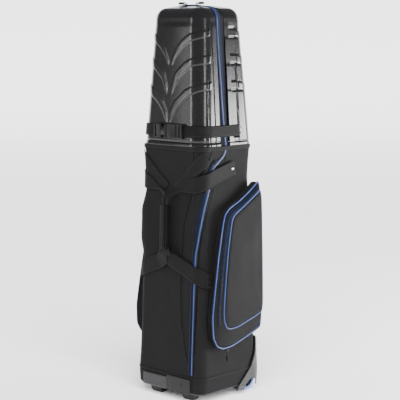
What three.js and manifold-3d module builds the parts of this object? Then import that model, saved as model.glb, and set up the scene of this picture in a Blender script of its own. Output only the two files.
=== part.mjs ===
// A wheeled travel cover for a golf bag: a tall padded fabric body on a moulded base, under a
// hard two-piece top that opens forwards. Millimetres, +Z up, -Y is the front (the carry handle),
// +Y the back (the wheels), +X the right side.
import * as THREE from "three";
import { mergeVertices } from "three/addons/utils/BufferGeometryUtils.js";
import Module from "manifold-3d";

const wasm = await Module();
wasm.setup();

// ---- Driving dimensions ----
const GAP = 0.3; // clearance between neighbouring pieces

// Fabric body: height, half width and half depth of its plan sections, bottom to top.
const BODY_SECTIONS = [
  [27, 150, 141],
  [60, 152.5, 144],
  [400, 145, 131],
  [640, 139.5, 124],
  [730, 136, 120.5],
  [836, 140.5, 125.5],
];
const BODY_CORNER = 35;
const BODY_WALL = 5;
const BODY_BOTTOM = 27;
const BODY_TOP = 836;
const FRONT_EDGES = [-1.4, 1]; // the front panel's side seams, in plan stations (see `along`)
const BACK_EDGES = [3.4, 6.6];

// Hard top: sizes at its bottom rim, then the taper and the rounded crown.
const TOP_RIM = 836.5;
const TOP_HALF_WIDTH = 140.5;
const TOP_HALF_DEPTH = 126;
const TOP_TAPER = 0.0585; // loss of half width and half depth for each millimetre of height
const TOP_CORNER = 45;
const TOP_WALL = 3;
const CROWN_START = 1243;
const CROWN_RADIUS = 38;
const CROWN_RISE = 8;
const FRONT_SHELL_EDGE = -37; // y of the front shell's rim, beside the zip
const REAR_SHELL_EDGE = 2;

// Compression strap round the hard top, and its side-release buckle.
const STRAP_Z = 885;
const STRAP_WIDTH = 38;
const STRAP_LIFT = 2.6;
const STRAP_THICKNESS = 2;
const STRAP_END_Y = 50;
const BUCKLE_Y = -128; // back face of the buckle
const BUCKLE_HEIGHT = 48;
const SOCKET_X = [-63, -6];
const PRONG_REACH = 14;
const PLUG_X = [-5.5, 62];

// Carry handle: two webbing loops that meet in a split grip at the front.
const WEBBING_WIDTH = 50;
const WEBBING_THICKNESS = 2.5;
const HANDLE_TOP = new THREE.Vector3(143, 2, 758); // the loop's upper pivot point, right side
const HANDLE_BOTTOM = new THREE.Vector3(150, -107, 400);
const GRIP_LIFT = 25; // webbing above the front panel inside the grip
const GRIP_SPAN = [500, 645];

// Side pockets, in the right-hand pocket's own y and z.
const POCKET_BACK = 124;
const POCKET_RIM = [
  [118, 712], [69, 679], [24, 654], [-24, 634], [-44, 616], [-54, 590], [-76, 490],
  [-101, 350], [-111, 285], [-108, 222], [-90, 192], [-62, 180], [-15, 184], [84, 213],
  [118, 226], [124, 260], [124, 680],
];
const POCKET_MOUTH = [
  [112, 684], [65, 656], [22, 632], [-12, 614], [-24, 600], [-30, 580], [-48, 485],
  [-66, 350], [-70, 300], [-68, 272], [-58, 252], [-40, 245], [-5, 247], [75, 268],
  [112, 280], [118, 310], [118, 655],
];
const POCKET_BASE_SQUEEZE = 0.92; // the base seam is this much shorter, front to back, than the rim
const POCKET_WALL = 4;
const POCKET_RIM_LIFT = 28;
const POCKET_MOUTH_LIFT = 41;
const LID_THICKNESS = 3;
const LID_BULGE = 2; // the lid's middle stands this much higher, inside an edge band
const LID_BAND = 8;

// Base and running gear.
const WHEEL_RADIUS = 36;
const WHEEL_WIDTH = 24;
const WHEEL_X = 120;
const WHEEL_Y = 106;
const HUB_RADIUS = 27;
const BEARING_RADIUS = 11;
const BEARING_WIDTH = 7;
const AXLE_RADIUS = 4;
const HOUSING = { x: [100, 154], y: [56, 152], z: [12, 112] };
const WELL_HALF_WIDTH = 15;
const ARCH_RADIUS = 38; // the wheel's opening in the outer side of its housing
const ARCH_Z = 6;
const FOOT = { x: 73, y: -108, width: 50, depth: 30, height: 22 };

const PALETTE = {
  fabric: { color: 0x1b1c1f, roughness: 0.85, metalness: 0 },
  shell: { color: 0x17181a, roughness: 0.18, metalness: 0 },
  webbing: { color: 0x141417, roughness: 0.8, metalness: 0 },
  trim: { color: 0x3d5aa8, roughness: 0.5, metalness: 0 },
  moulding: { color: 0x1e1f22, roughness: 0.5, metalness: 0 },
  kick: { color: 0x54565a, roughness: 0.5, metalness: 0 },
  tyre: { color: 0x2f6fd0, roughness: 0.4, metalness: 0 },
  steel: { color: 0xb8bcc2, roughness: 0.25, metalness: 1 },
  foam: { color: 0x2b2c30, roughness: 0.95, metalness: 0 },
};

const model = new THREE.Group();

// ---- Solids ----
function merged(geometry) {
  const bare = geometry.clone();
  bare.deleteAttribute("normal");
  bare.deleteAttribute("uv");
  return mergeVertices(bare, 1e-4);
}

function solid(geometry) {
  const shape = merged(geometry);
  const vertProperties = new Float32Array(shape.attributes.position.array);
  const triVerts = new Uint32Array(shape.index.array);
  return new wasm.Manifold(new wasm.Mesh({ numProp: 3, vertProperties, triVerts }));
}

function surface(body) {
  const mesh = body.getMesh();
  const geometry = new THREE.BufferGeometry();
  geometry.setAttribute("position", new THREE.BufferAttribute(mesh.vertProperties, 3));
  geometry.setIndex(new THREE.BufferAttribute(mesh.triVerts, 1));
  return geometry;
}

function addPart(name, finish, geometry) {
  const faceted = geometry.index ? geometry.toNonIndexed() : geometry.clone();
  faceted.computeVertexNormals();
  const mesh = new THREE.Mesh(faceted, new THREE.MeshStandardMaterial(PALETTE[finish]));
  mesh.name = name;
  model.add(mesh);
}

function block(x, y, z) {
  const geometry = new THREE.BoxGeometry(x[1] - x[0], y[1] - y[0], z[1] - z[0]);
  return geometry.translate((x[0] + x[1]) / 2, (y[0] + y[1]) / 2, (z[0] + z[1]) / 2);
}

// A geometry built from points and triangles given as point numbers.
function faces(points, triangles) {
  const geometry = new THREE.BufferGeometry().setFromPoints(points);
  geometry.setIndex(triangles);
  return geometry;
}

// The same shape on the other side of the bag.
function mirrored(geometry) {
  const other = (geometry.index ? geometry.toNonIndexed() : geometry.clone()).scale(-1, 1, 1);
  const position = other.attributes.position.array;
  for (let i = 0; i < position.length; i += 9)
    for (let k = 0; k < 3; k++) {
      const kept = position[i + 3 + k];
      position[i + 3 + k] = position[i + 6 + k];
      position[i + 6 + k] = kept;
    }
  other.deleteAttribute("normal");
  return other;
}

function addPair(name, finish, geometry) {
  addPart(`${name}_right`, finish, geometry);
  addPart(`${name}_left`, finish, mirrored(geometry));
}

// A closed wall between an outer and an inner grid of points that match one for one. Rows run
// from the bottom up, or across a strip, and columns anticlockwise seen from above.
function wall(outer, inner) {
  const rows = outer.length;
  const columns = outer[0].length;
  const out = (i, j) => i * columns + j;
  const back = (i, j) => rows * columns + i * columns + j;
  const triangles = [];
  const quad = (a, b, c, d) => triangles.push(a, b, c, a, c, d);
  for (let i = 0; i < rows - 1; i++)
    for (let j = 0; j < columns - 1; j++) {
      quad(out(i, j), out(i, j + 1), out(i + 1, j + 1), out(i + 1, j));
      quad(back(i, j), back(i + 1, j), back(i + 1, j + 1), back(i, j + 1));
    }
  for (let j = 0; j < columns - 1; j++) {
    quad(out(0, j), back(0, j), back(0, j + 1), out(0, j + 1));
    quad(out(rows - 1, j), out(rows - 1, j + 1), back(rows - 1, j + 1), back(rows - 1, j));
  }
  for (let i = 0; i < rows - 1; i++) {
    quad(out(i, 0), out(i + 1, 0), back(i + 1, 0), back(i, 0));
    quad(out(i, columns - 1), back(i, columns - 1), back(i + 1, columns - 1), out(i + 1, columns - 1));
  }
  return faces([...outer.flat(), ...inner.flat()], triangles);
}

// A closed solid through rings of points, each ring anticlockwise, with flat ends.
function loft(rings) {
  const count = rings[0].length;
  const triangles = [];
  for (let i = 0; i < rings.length - 1; i++)
    for (let j = 0; j < count; j++) {
      const next = (j + 1) % count;
      const [a, b, c, d] = [i * count + j, i * count + next, (i + 1) * count + next, (i + 1) * count + j];
      triangles.push(a, b, c, a, c, d);
    }
  const last = (rings.length - 1) * count;
  for (let j = 1; j < count - 1; j++) {
    triangles.push(0, j + 1, j);
    triangles.push(last, last + j, last + j + 1);
  }
  return faces(rings.flat(), triangles);
}

// ---- Plan sections ----
// A form gives its plan section at a height: a rectangle with round corners.
function bodyForm(z) {
  const upper = Math.max(1, BODY_SECTIONS.findIndex(([height]) => z <= height));
  const [z0, w0, d0] = BODY_SECTIONS[upper - 1];
  const [z1, w1, d1] = BODY_SECTIONS[upper];
  return {
    halfWidth: THREE.MathUtils.mapLinear(z, z0, z1, w0, w1),
    halfDepth: THREE.MathUtils.mapLinear(z, z0, z1, d0, d1),
    corner: BODY_CORNER,
  };
}

function topForm(z) {
  const loss = TOP_TAPER * (z - TOP_RIM);
  return { halfWidth: TOP_HALF_WIDTH - loss, halfDepth: TOP_HALF_DEPTH - loss, corner: TOP_CORNER };
}

// Distance along the section from the front centre to a plan station: station 1 is the start of
// the right front corner, 2 its end, 3 and 4 the right back corner, 5 the back centre.
function along(form, z, station) {
  const { halfWidth, halfDepth, corner } = form(z);
  const arc = (corner * Math.PI) / 2;
  const runs = [halfWidth - corner, arc, 2 * (halfDepth - corner), arc, halfWidth - corner];
  const wrapped = station > 5 ? station - 10 : station;
  let left = Math.abs(wrapped);
  let distance = 0;
  for (const run of runs) {
    distance += Math.min(left, 1) * run;
    left = Math.max(0, left - 1);
  }
  return Math.sign(wrapped) * distance;
}

// The point on a form at a distance along its section from the front centre (right is positive),
// at height z and `out` beyond the surface.
function place(form, distance, z, out) {
  const { halfWidth, halfDepth, corner } = form(z);
  const side = distance < 0 ? -1 : 1;
  const [cx, cy, arc] = [halfWidth - corner, halfDepth - corner, (corner * Math.PI) / 2];
  let s = Math.abs(distance);
  if (s <= cx) return new THREE.Vector3(side * s, -halfDepth - out, z);
  s -= cx;
  if (s > arc && s <= arc + 2 * cy) return new THREE.Vector3(side * (halfWidth + out), s - arc - cy, z);
  if (s > 2 * (arc + cy)) return new THREE.Vector3(side * (cx - s + 2 * (arc + cy)), halfDepth + out, z);
  const back = s > arc;
  const angle = (back ? s - 2 * cy : s) / corner;
  const x = side * (cx + (corner + out) * Math.sin(angle));
  return new THREE.Vector3(x, (back ? cy : -cy) - (corner + out) * Math.cos(angle), z);
}

// Stations from one to another: every whole one, and every fifth of one round a corner.
function stations(from, to) {
  const list = [from];
  for (let fifth = Math.ceil(from * 5 + 0.01); fifth < to * 5 - 0.01; fifth++) {
    const station = fifth / 5;
    const run = Math.floor(Math.abs(station > 5 ? station - 10 : station));
    if (fifth % 5 === 0 || run === 1 || run === 3) list.push(station);
  }
  list.push(to);
  return list;
}

// A full ring of points on a form.
function ring(form, z, out) {
  return stations(-5, 5)
    .slice(0, -1)
    .map((station) => place(form, along(form, z, station), z, out));
}

// A fabric panel of a form between two stations.
function panel(form, [from, to], heights, inner, outer) {
  const row = (z, out) => stations(from, to).map((s) => place(form, along(form, z, s), z, out));
  return wall(
    heights.map((z) => row(z, outer)),
    heights.map((z) => row(z, inner)),
  );
}

// A strip laid on a form along a route of [distance, z, lift] points. `width` may be a function
// of the position along the route, from 0 to 1, and `across` is the number of cells over it.
function strip(form, route, steps, width, inner, outer, across = 1) {
  const curve = new THREE.CatmullRomCurve3(route.map((p) => new THREE.Vector3(...p)));
  const at = (t, side, out) => {
    const point = curve.getPoint(t);
    const heading = curve.getTangent(t).setZ(0).normalize();
    const half = (side * (typeof width === "function" ? width(t) : width)) / 2;
    return place(form, point.x - heading.y * half, point.y + heading.x * half, point.z + out);
  };
  const line = (side, out) => Array.from({ length: steps + 1 }, (_, i) => at(i / steps, side, out));
  const sides = Array.from({ length: across + 1 }, (_, i) => (2 * i) / across - 1);
  return wall(
    sides.map((side) => line(side, outer)),
    sides.map((side) => line(side, inner)),
  );
}

// ---- Fabric body ----
function wheelBay() {
  const { x, y, z } = HOUSING;
  const clear = (range) => [range[0] - GAP, range[1] + GAP];
  const bay = solid(block(clear(x), clear(y), [z[0] - 40, z[1] + GAP]));
  const other = solid(mirrored(block(clear(x), clear(y), [z[0] - 40, z[1] + GAP])));
  return bay.add(other);
}

function addBody(bay) {
  const heights = [BODY_BOTTOM + 6, ...BODY_SECTIONS.slice(1).map(([z]) => z)];
  const seam = 0.004; // stations left open at each side seam
  const [left, right] = FRONT_EDGES;
  const [backRight, backLeft] = BACK_EDGES;
  const piece = (from, to) =>
    solid(panel(bodyForm, [from + seam, to - seam], heights, -BODY_WALL, 0)).subtract(bay);
  addPart("front_panel", "fabric", surface(piece(left, right)));
  addPart("side_panel_right", "fabric", surface(piece(right, backRight)));
  addPart("back_panel", "fabric", surface(piece(backRight, backLeft)));
  addPart("side_panel_left", "fabric", surface(piece(backLeft - 10, left)));
}

function addNeckBinding() {
  const sleeve = (out, z0, z1) => solid(loft([ring(bodyForm, z0, out), ring(bodyForm, z1, out)]));
  const binding = sleeve(2.4, 823, BODY_TOP - 1).subtract(sleeve(GAP + 0.1, 822, BODY_TOP));
  addPart("neck_binding", "fabric", surface(binding));
}

// Flat bands sewn from the top corners of the neck down to the head of the grip.
function addShoulderBands() {
  const route = [[146, 803, 0], [112, 771, 0], [75, 735, 0], [36, 708, 0]];
  addPair("shoulder_band", "webbing", strip(bodyForm, route, 14, 36, 0.9, 2.5, 4));
}

// ---- Hard top ----
// The solid dome of the hard top, moved outwards by `out`.
function dome(out) {
  const low = TOP_RIM - 4;
  const start = topForm(CROWN_START);
  const shrunk = (inset) => () => ({
    halfWidth: start.halfWidth - inset,
    halfDepth: start.halfDepth - inset,
    corner: Math.max(TOP_CORNER - inset, 4),
  });
  const rings = [ring(topForm, low, out), ring(topForm, CROWN_START, out)];
  for (const degrees of [22.5, 45, 67.5, 90]) {
    const angle = THREE.MathUtils.degToRad(degrees);
    const inset = (CROWN_RADIUS + out) * (1 - Math.cos(angle));
    const z = CROWN_START + (CROWN_RADIUS + out) * Math.sin(angle);
    rings.push(ring(shrunk(inset - out), z, 0));
  }
  const flat = rings[rings.length - 1];
  const centre = new THREE.Vector3(0, 0, flat[0].z);
  for (const [share, rise] of [[0.55, 0.7], [0.12, 1]])
    rings.push(flat.map((p) => centre.clone().lerp(p, share).setZ(p.z + rise * CROWN_RISE)));
  return solid(loft(rings));
}

// A layer of the dome between two offsets, cut to a range of y.
function domeLayer(inner, outer, y) {
  const reach = 400;
  const slab = solid(block([-reach, reach], y, [TOP_RIM, TOP_RIM + 2 * reach]));
  return dome(outer).subtract(dome(inner)).intersect(slab);
}

function addHardTop() {
  const far = 300;
  addPart("front_shell", "shell", surface(domeLayer(-TOP_WALL, 0, [-far, FRONT_SHELL_EDGE])));
  addPart("rear_shell", "shell", surface(domeLayer(-TOP_WALL, 0, [REAR_SHELL_EDGE, far])));
  const y = [FRONT_SHELL_EDGE + GAP, REAR_SHELL_EDGE - GAP];
  addPart("top_gusset", "fabric", surface(domeLayer(-TOP_WALL - 0.5, -1.5, y)));
  addPart("top_zip_chain", "webbing", surface(domeLayer(-1.2, 0.8, [y[0] + 0.5, y[0] + 5.5])));
  addPart("top_piping", "trim", surface(domeLayer(-1.2, 2, [y[0] + 6.5, y[0] + 10])));
  addPart("crown_pad", "foam", block([-76, 76], [8, 70], [1258, 1274]));
}

// Two sliders of the main zip, parked on top, and their pulls.
const SLIDER = { length: 14, width: 9, height: 5, z: 1291.2, y: FRONT_SHELL_EDGE + 3.5 };
const PULL = { length: 24, width: 7, thickness: 2 };

function slider() {
  const { length, width, height } = SLIDER;
  const body = solid(block([-length / 2, length / 2], [-width / 2, width / 2], [0, height - 2]));
  const post = (x) => solid(block([x - 1, x + 1], [-1, 1], [height - 2.5, height + 1.5]));
  const bar = solid(block([-4, 4], [-1, 1], [height + 1, height + 2.5]));
  return body.add(post(-3)).add(post(3)).add(bar);
}

function pull(pivotX, pivotZ, heading) {
  const { length, width, thickness } = PULL;
  const x = heading > 0 ? [3.5, length] : [-length, -3.5];
  const tab = block(x, [-width / 2, width / 2], [-thickness / 2, thickness / 2]);
  return tab.translate(pivotX, SLIDER.y, pivotZ);
}

function addMainSliders() {
  const { z, y, height } = SLIDER;
  for (const [name, x, heading] of [["left", -22, -1], ["right", 34, 1]]) {
    addPart(`top_zip_slider_${name}`, "steel", surface(slider()).translate(x, y, z));
    addPart(`top_zip_pull_${name}`, "webbing", pull(x + heading * 1.5, z + height + 1.75, heading));
  }
}

// ---- Compression strap ----
function addCompressionStrap() {
  const { halfWidth, halfDepth, corner } = topForm(STRAP_Z);
  const toCorner = halfWidth - corner + (corner * Math.PI) / 2 + halfDepth - corner;
  const end = toCorner + STRAP_END_Y;
  const level = (from, to, lift) => [[from, STRAP_Z, lift], [to, STRAP_Z, lift]];
  const band = (from, to) =>
    strip(topForm, level(from, to, STRAP_LIFT), 28, STRAP_WIDTH, 0, STRAP_THICKNESS);
  addPart("strap_right", "webbing", band(34, end));
  addPart("strap_left", "webbing", band(-end, SOCKET_X[0] - 1));
  const plate = solid(strip(topForm, level(end + 1, end + 15, 0.6), 1, 34, 0, 2));
  const rivet = (z) => {
    const head = new THREE.CylinderGeometry(3.5, 4.5, 2, 12).rotateZ(-Math.PI / 2);
    return solid(head.translate(topForm(z).halfWidth + 3, STRAP_END_Y + 8, z));
  };
  addPair("strap_anchor", "steel", surface(plate.add(rivet(STRAP_Z - 9)).add(rivet(STRAP_Z + 9))));
}

function addBuckle() {
  const tall = (share) => [STRAP_Z - (BUCKLE_HEIGHT * share) / 2, STRAP_Z + (BUCKLE_HEIGHT * share) / 2];
  const shell = solid(block(SOCKET_X, [BUCKLE_Y - 12, BUCKLE_Y], tall(1)));
  const depth = [BUCKLE_Y - 10, BUCKLE_Y - 1.5];
  const mouth = solid(block([SOCKET_X[1] - 26, SOCKET_X[1] + 1], depth, tall(0.72)));
  addPart("buckle_socket", "moulding", surface(shell.subtract(mouth)));
  const [near, far] = PLUG_X;
  const body = solid(block([near, far], [BUCKLE_Y - 11, BUCKLE_Y - 2], tall(1)));
  const prong = (z) =>
    solid(block([near - PRONG_REACH, near + 1], [BUCKLE_Y - 7.2, BUCKLE_Y - 4.3], [z - 5, z + 5]));
  const slot = (x) => solid(block([x, x + 6], [BUCKLE_Y - 12, BUCKLE_Y], tall(0.8)));
  const plug = body.add(prong(STRAP_Z - 9)).add(prong(STRAP_Z + 9)).subtract(slot(36)).subtract(slot(50));
  addPart("buckle_plug", "moulding", surface(plug));
}

// ---- Carry handle ----
const LOOP_ROUTE = [
  [270, 763, 3.8], [248, 757, 3.8], [180, 737, 3.8], [95, 708, 4], [46, 692, 5],
  [16, 676, 14], [9.5, 655, GRIP_LIFT], [9.5, 572, GRIP_LIFT], [9.5, 490, GRIP_LIFT],
  [16, 470, 14], [44, 452, 5], [72, 442, 4.2], [108, 428, 4.2], [150, 408, 3.8], [172, 398, 3.8],
];
const SWING_GAP = 3.2; // between a loop's sewn end and the part that swings
const GRIP_WIDTH = 17;
const GRIP_DEPTH = 18;

// Everything on the far side of the pivot line from the grip, which stays sewn to the bag.
function behindPivot(clearance) {
  const axis = HANDLE_TOP.clone().sub(HANDLE_BOTTOM).normalize();
  const outward = new THREE.Vector3(1, 0, 0);
  const rearward = axis.clone().cross(outward).normalize();
  const basis = new THREE.Matrix4().makeBasis(outward, rearward, axis);
  const size = 1000;
  const box = new THREE.BoxGeometry(size, size, size).translate(0, size / 2 + clearance, 0);
  return solid(box.applyMatrix4(basis).translate(HANDLE_BOTTOM.x, HANDLE_BOTTOM.y, HANDLE_BOTTOM.z));
}

function addHandles() {
  const loopWidth = (t) => {
    const fromEnds = Math.min(t, 1 - t);
    return THREE.MathUtils.lerp(11, WEBBING_WIDTH, 1 - THREE.MathUtils.smoothstep(fromEnds, 0.25, 0.36));
  };
  const loop = solid(strip(bodyForm, LOOP_ROUTE, 64, loopWidth, 0, WEBBING_THICKNESS, 2));
  const moving = loop.subtract(behindPivot(-SWING_GAP));
  addPair("handle_loop", "webbing", surface(moving));
  const tabs = loop.intersect(behindPivot(GAP)).decompose();
  tabs.sort((a, b) => b.boundingBox().max[2] - a.boundingBox().max[2]);
  ["upper", "lower"].forEach((level, i) => {
    const box = tabs[i].boundingBox();
    const head = new THREE.CylinderGeometry(4.5, 6, 2.5, 12).rotateZ(-Math.PI / 2);
    const [y, z] = [(box.min[1] + box.max[1]) / 2, (box.min[2] + box.max[2]) / 2];
    head.translate(bodyForm(z).halfWidth + 3.8 + WEBBING_THICKNESS, y, z);
    addPair(`handle_anchor_${level}`, "webbing", surface(tabs[i].add(solid(head))));
  });
  const straight = [[9.5, GRIP_SPAN[1], GRIP_LIFT], [9.5, GRIP_SPAN[0], GRIP_LIFT]];
  const pad = solid(strip(bodyForm, straight, 3, GRIP_WIDTH, -9, GRIP_DEPTH - 9));
  const sleeve = [[9.5, GRIP_SPAN[1] + 9, GRIP_LIFT], [9.5, GRIP_SPAN[0] - 9, GRIP_LIFT]];
  const core = solid(strip(bodyForm, sleeve, 3, 14.4, -2.5, WEBBING_THICKNESS + 2.5));
  addPair("grip_pad", "webbing", surface(pad.subtract(core)));
}

// ---- Side pockets ----
// The x of the side panel's outer face, as a straight line from the pocket's bottom to its top.
function sideX(z) {
  return 150 - 0.0225 * (z - 170);
}

function pocketRing(outline, lift, inset, squeeze) {
  const centre = { y: 20, z: 440 };
  const [halfY, halfZ] = [118, 266];
  return outline.map(([y, z]) => {
    const squeezed = POCKET_BACK + (y - POCKET_BACK) * squeeze;
    const py = centre.y + (squeezed - centre.y) * (1 - inset / halfY);
    const pz = centre.z + (z - centre.z) * (1 - inset / halfZ);
    return new THREE.Vector3(sideX(pz) + lift, py, pz);
  });
}

function pocketForm(inset, lifts) {
  const [base, rim, mouth] = lifts;
  const rings = [
    pocketRing(POCKET_RIM, base, inset, POCKET_BASE_SQUEEZE),
    pocketRing(POCKET_RIM, rim, inset, 1),
    pocketRing(POCKET_MOUTH, mouth, inset, 1),
  ];
  return solid(loft(rings));
}

function addPockets() {
  const outside = pocketForm(0, [0.8, POCKET_RIM_LIFT, POCKET_MOUTH_LIFT]);
  const inside = pocketForm(POCKET_WALL, [0, POCKET_RIM_LIFT - 2, POCKET_MOUTH_LIFT + 2]);
  addPair("pocket_shell", "fabric", surface(outside.subtract(inside)));
  const face = (rise, inset) => pocketRing(POCKET_MOUTH, POCKET_MOUTH_LIFT + rise, inset, 1);
  const low = 2 * GAP;
  const middle = face(low + LID_THICKNESS + LID_BULGE, LID_BAND);
  addPair("pocket_lid", "fabric", loft([face(low, 0), face(low + LID_THICKNESS, 0), middle]));
}

// The pocket zips' sliders sit under the pockets' bottom edges, and their pulls hang from them.
function addPocketSliders() {
  const x = sideX(170) + 24;
  addPair("pocket_zip_slider", "steel", block([x - 5, x + 5], [-46, -34], [168, 172]));
  addPair("pocket_zip_pull", "webbing", block([x - 1, x + 1], [-43.5, -36.5], [135, 166.4]));
}

// ---- Main zip and its piping down the front ----
function addFrontZip() {
  const route = [
    [112, 93, 0.5], [113, 300, 0.5], [116, 470, 0.5], [122, 520, 0.5], [131, 581, 0.5],
    [143, 650, 0.5], [158, 707, 0.5], [176, 764, 0.5], [202, 784, 0.5], [226, 802, 0.5],
    [236, 818, 0.5],
  ];
  const inward = route.map(([distance, z, lift]) => [distance - 7, z + (z > 700 ? 6 : 0), lift]);
  addPart("front_piping", "trim", strip(bodyForm, route, 40, 3, 0, 2));
  addPart("front_zip_chain", "webbing", strip(bodyForm, inward.slice(0, 7), 28, 6, 0, 1.2));
}

// ---- Base ----
function addBase(bay) {
  const tray = solid(loft([ring(bodyForm, BODY_BOTTOM, -4), ring(bodyForm, BODY_BOTTOM + 5.6, 0)]));
  addPart("base_tray", "moulding", surface(tray.subtract(bay)));
  const board = solid(loft([ring(bodyForm, 33, -8), ring(bodyForm, 36, -8)]));
  addPart("base_board", "foam", surface(board.subtract(bay)));
  const front = -bodyForm(60).halfDepth;
  const skin = (y) => [y - 3, y];
  const plate = solid(block([-111, 0], skin(front - GAP - 0.2), [30, 68]));
  const rib = (z) => solid(block([-108, -3], [front - 5, front - 3], [z, z + 3]));
  const ribs = [34, 42, 50, 58].reduce((whole, z) => whole.add(rib(z)), plate);
  addPart("kick_plate", "kick", surface(ribs));
  const pad = solid(block([1, 108], skin(front - GAP - 0.2), [30, 78]));
  const stud = new THREE.CylinderGeometry(4, 4, 3, 12).translate(66, front - 4, 53);
  addPart("kick_pad", "moulding", surface(pad.add(solid(stud))));
  const { x, y, width, depth, height } = FOOT;
  const sole = (z, grow) =>
    [[-1, -1], [1, -1], [1, 1], [-1, 1]].map(
      ([sx, sy]) => new THREE.Vector3(x + sx * (width / 2 + grow), y + sy * (depth / 2 + grow), z),
    );
  const top = BODY_BOTTOM - GAP;
  addPair("foot", "moulding", loft([sole(0, -5), sole(height - 14, 0), sole(top, 0)]));
}

// ---- Wheels ----
// A ring about the wheel's axle, from a profile of [radius, offset along the axle] points.
function turned(profile, segments) {
  const points = [...profile, profile[0]].map(([r, offset]) => new THREE.Vector2(r, offset));
  const shape = new THREE.LatheGeometry(points, segments).rotateZ(-Math.PI / 2);
  return shape.translate(WHEEL_X, WHEEL_Y, WHEEL_RADIUS);
}

function addWheels(bay) {
  const half = WHEEL_WIDTH / 2;
  const tread = [
    [HUB_RADIUS, -half], [WHEEL_RADIUS - 4, -half], [WHEEL_RADIUS, -half + 7],
    [WHEEL_RADIUS, half - 7], [WHEEL_RADIUS - 4, half], [HUB_RADIUS, half],
  ];
  addPair("wheel_tyre", "tyre", turned(tread, 28));
  const rim = HUB_RADIUS - GAP;
  const seat = BEARING_RADIUS + GAP;
  const hub = [
    [seat, -half + 1], [rim - 3, -half + 4], [rim, -half + 1],
    [rim, half - 1], [rim - 3, half - 4], [seat, half - 1],
  ];
  addPair("wheel_hub", "moulding", turned(hub, 20));
  for (const [name, middle] of [["outer", 7], ["inner", -7]]) {
    const [low, high] = [middle - BEARING_WIDTH / 2, middle + BEARING_WIDTH / 2];
    const bore = AXLE_RADIUS + GAP;
    const race = [[bore, low], [BEARING_RADIUS, low], [BEARING_RADIUS, high], [bore, high]];
    addPair(`wheel_bearing_${name}`, "steel", turned(race, 14));
  }
  const axle = new THREE.CylinderGeometry(AXLE_RADIUS, AXLE_RADIUS, 2 * WELL_HALF_WIDTH - 2 * GAP, 14);
  addPair("wheel_axle", "steel", axle.rotateZ(Math.PI / 2).translate(WHEEL_X, WHEEL_Y, WHEEL_RADIUS));
  addPair("wheel_housing", "moulding", surface(wheelHousing()));
}

// A moulded corner block with the wheel's well in it.
function wheelHousing() {
  const { x, y, z } = HOUSING;
  const reach = 200;
  const skin = solid(loft([ring(bodyForm, z[0], 3), ring(bodyForm, 190, 3)]));
  const core = solid(block([x[0], reach], [y[0], reach], z)).intersect(skin);
  const wellX = [WHEEL_X - WELL_HALF_WIDTH, WHEEL_X + WELL_HALF_WIDTH];
  const round = WHEEL_RADIUS + 5;
  const well = solid(block(wellX, [WHEEL_Y - round, reach], [z[0] - 5, WHEEL_RADIUS + round]));
  const opening = new THREE.CylinderGeometry(ARCH_RADIUS, ARCH_RADIUS, 60, 24).rotateZ(Math.PI / 2);
  const side = solid(opening.translate(WHEEL_X + 40, WHEEL_Y, ARCH_Z));
  return core.subtract(well).subtract(side);
}

const bay = wheelBay();
addBody(bay);
addNeckBinding();
addShoulderBands();
addHardTop();
addMainSliders();
addCompressionStrap();
addBuckle();
addHandles();
addPockets();
addPocketSliders();
addFrontZip();
addBase(bay);
addWheels(bay);

// The origin is the middle of the bounding box, on the ground.
const bounds = new THREE.Box3().setFromObject(model);
const middle = bounds.getCenter(new THREE.Vector3());
for (const mesh of model.children) mesh.geometry.translate(-middle.x, -middle.y, -bounds.min.z);

export default model;
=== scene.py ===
# Golf travel cover. The moulded top, the sewn cloth, the webbing and the running gear are made
# in millimetres about the bag's own middle line, and `metres` takes them to the frame.
import math

import bmesh
import bpy
import numpy as np
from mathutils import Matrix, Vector, noise


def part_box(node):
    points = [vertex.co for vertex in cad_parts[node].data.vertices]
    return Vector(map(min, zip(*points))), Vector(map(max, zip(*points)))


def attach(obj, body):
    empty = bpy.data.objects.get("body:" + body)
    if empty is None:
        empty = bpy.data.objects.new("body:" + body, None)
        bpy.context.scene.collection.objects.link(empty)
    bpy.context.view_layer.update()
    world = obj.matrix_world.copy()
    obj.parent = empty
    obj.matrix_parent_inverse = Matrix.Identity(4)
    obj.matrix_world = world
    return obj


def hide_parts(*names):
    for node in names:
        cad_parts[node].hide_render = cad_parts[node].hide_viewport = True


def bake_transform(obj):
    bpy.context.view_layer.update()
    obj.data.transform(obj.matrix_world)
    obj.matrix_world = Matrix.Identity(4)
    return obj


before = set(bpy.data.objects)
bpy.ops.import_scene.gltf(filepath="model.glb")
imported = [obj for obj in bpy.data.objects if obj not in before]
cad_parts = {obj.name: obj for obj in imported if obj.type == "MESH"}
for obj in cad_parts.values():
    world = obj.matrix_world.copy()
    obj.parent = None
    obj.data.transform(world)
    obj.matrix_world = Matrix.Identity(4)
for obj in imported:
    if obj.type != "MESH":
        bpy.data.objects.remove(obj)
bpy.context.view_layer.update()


# ---- Sizes, millimetres ----
BODY = np.array(
    [
        [27, 150, 141], [60, 152.5, 144], [400, 145, 131], [640, 139.5, 124], [730, 136, 120.5],
        [836, 140.5, 125.5]
    ]
)
BODY_CORNER = 35
BODY_TOP = 836
RIM = 836.5
TOP_HALF_WIDTH = 140.5
TOP_HALF_DEPTH = 126
TOP_TAPER = 0.0585
TOP_CORNER = 50
CROWN_START = 1243
CROWN_RADIUS = 38
CROWN_RISE = 8
GUSSET = (-37, 2)
STRAP_Z = 885
ZIP_Y = -33.5
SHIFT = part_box("front_panel")[0].y * 1000 + BODY[:, 2].max()


def metres(points):
    points = np.array(points, float)
    points[..., 1] += SHIFT
    return points / 1000


# ---- Plan sections ----
def body_half(z):
    halves = [np.mean([np.interp(z + dz, BODY[:, 0], BODY[:, k]) for dz in (-18, 0, 18)], 0) for k in (1, 2)]
    return halves[0], halves[1], BODY_CORNER


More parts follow.
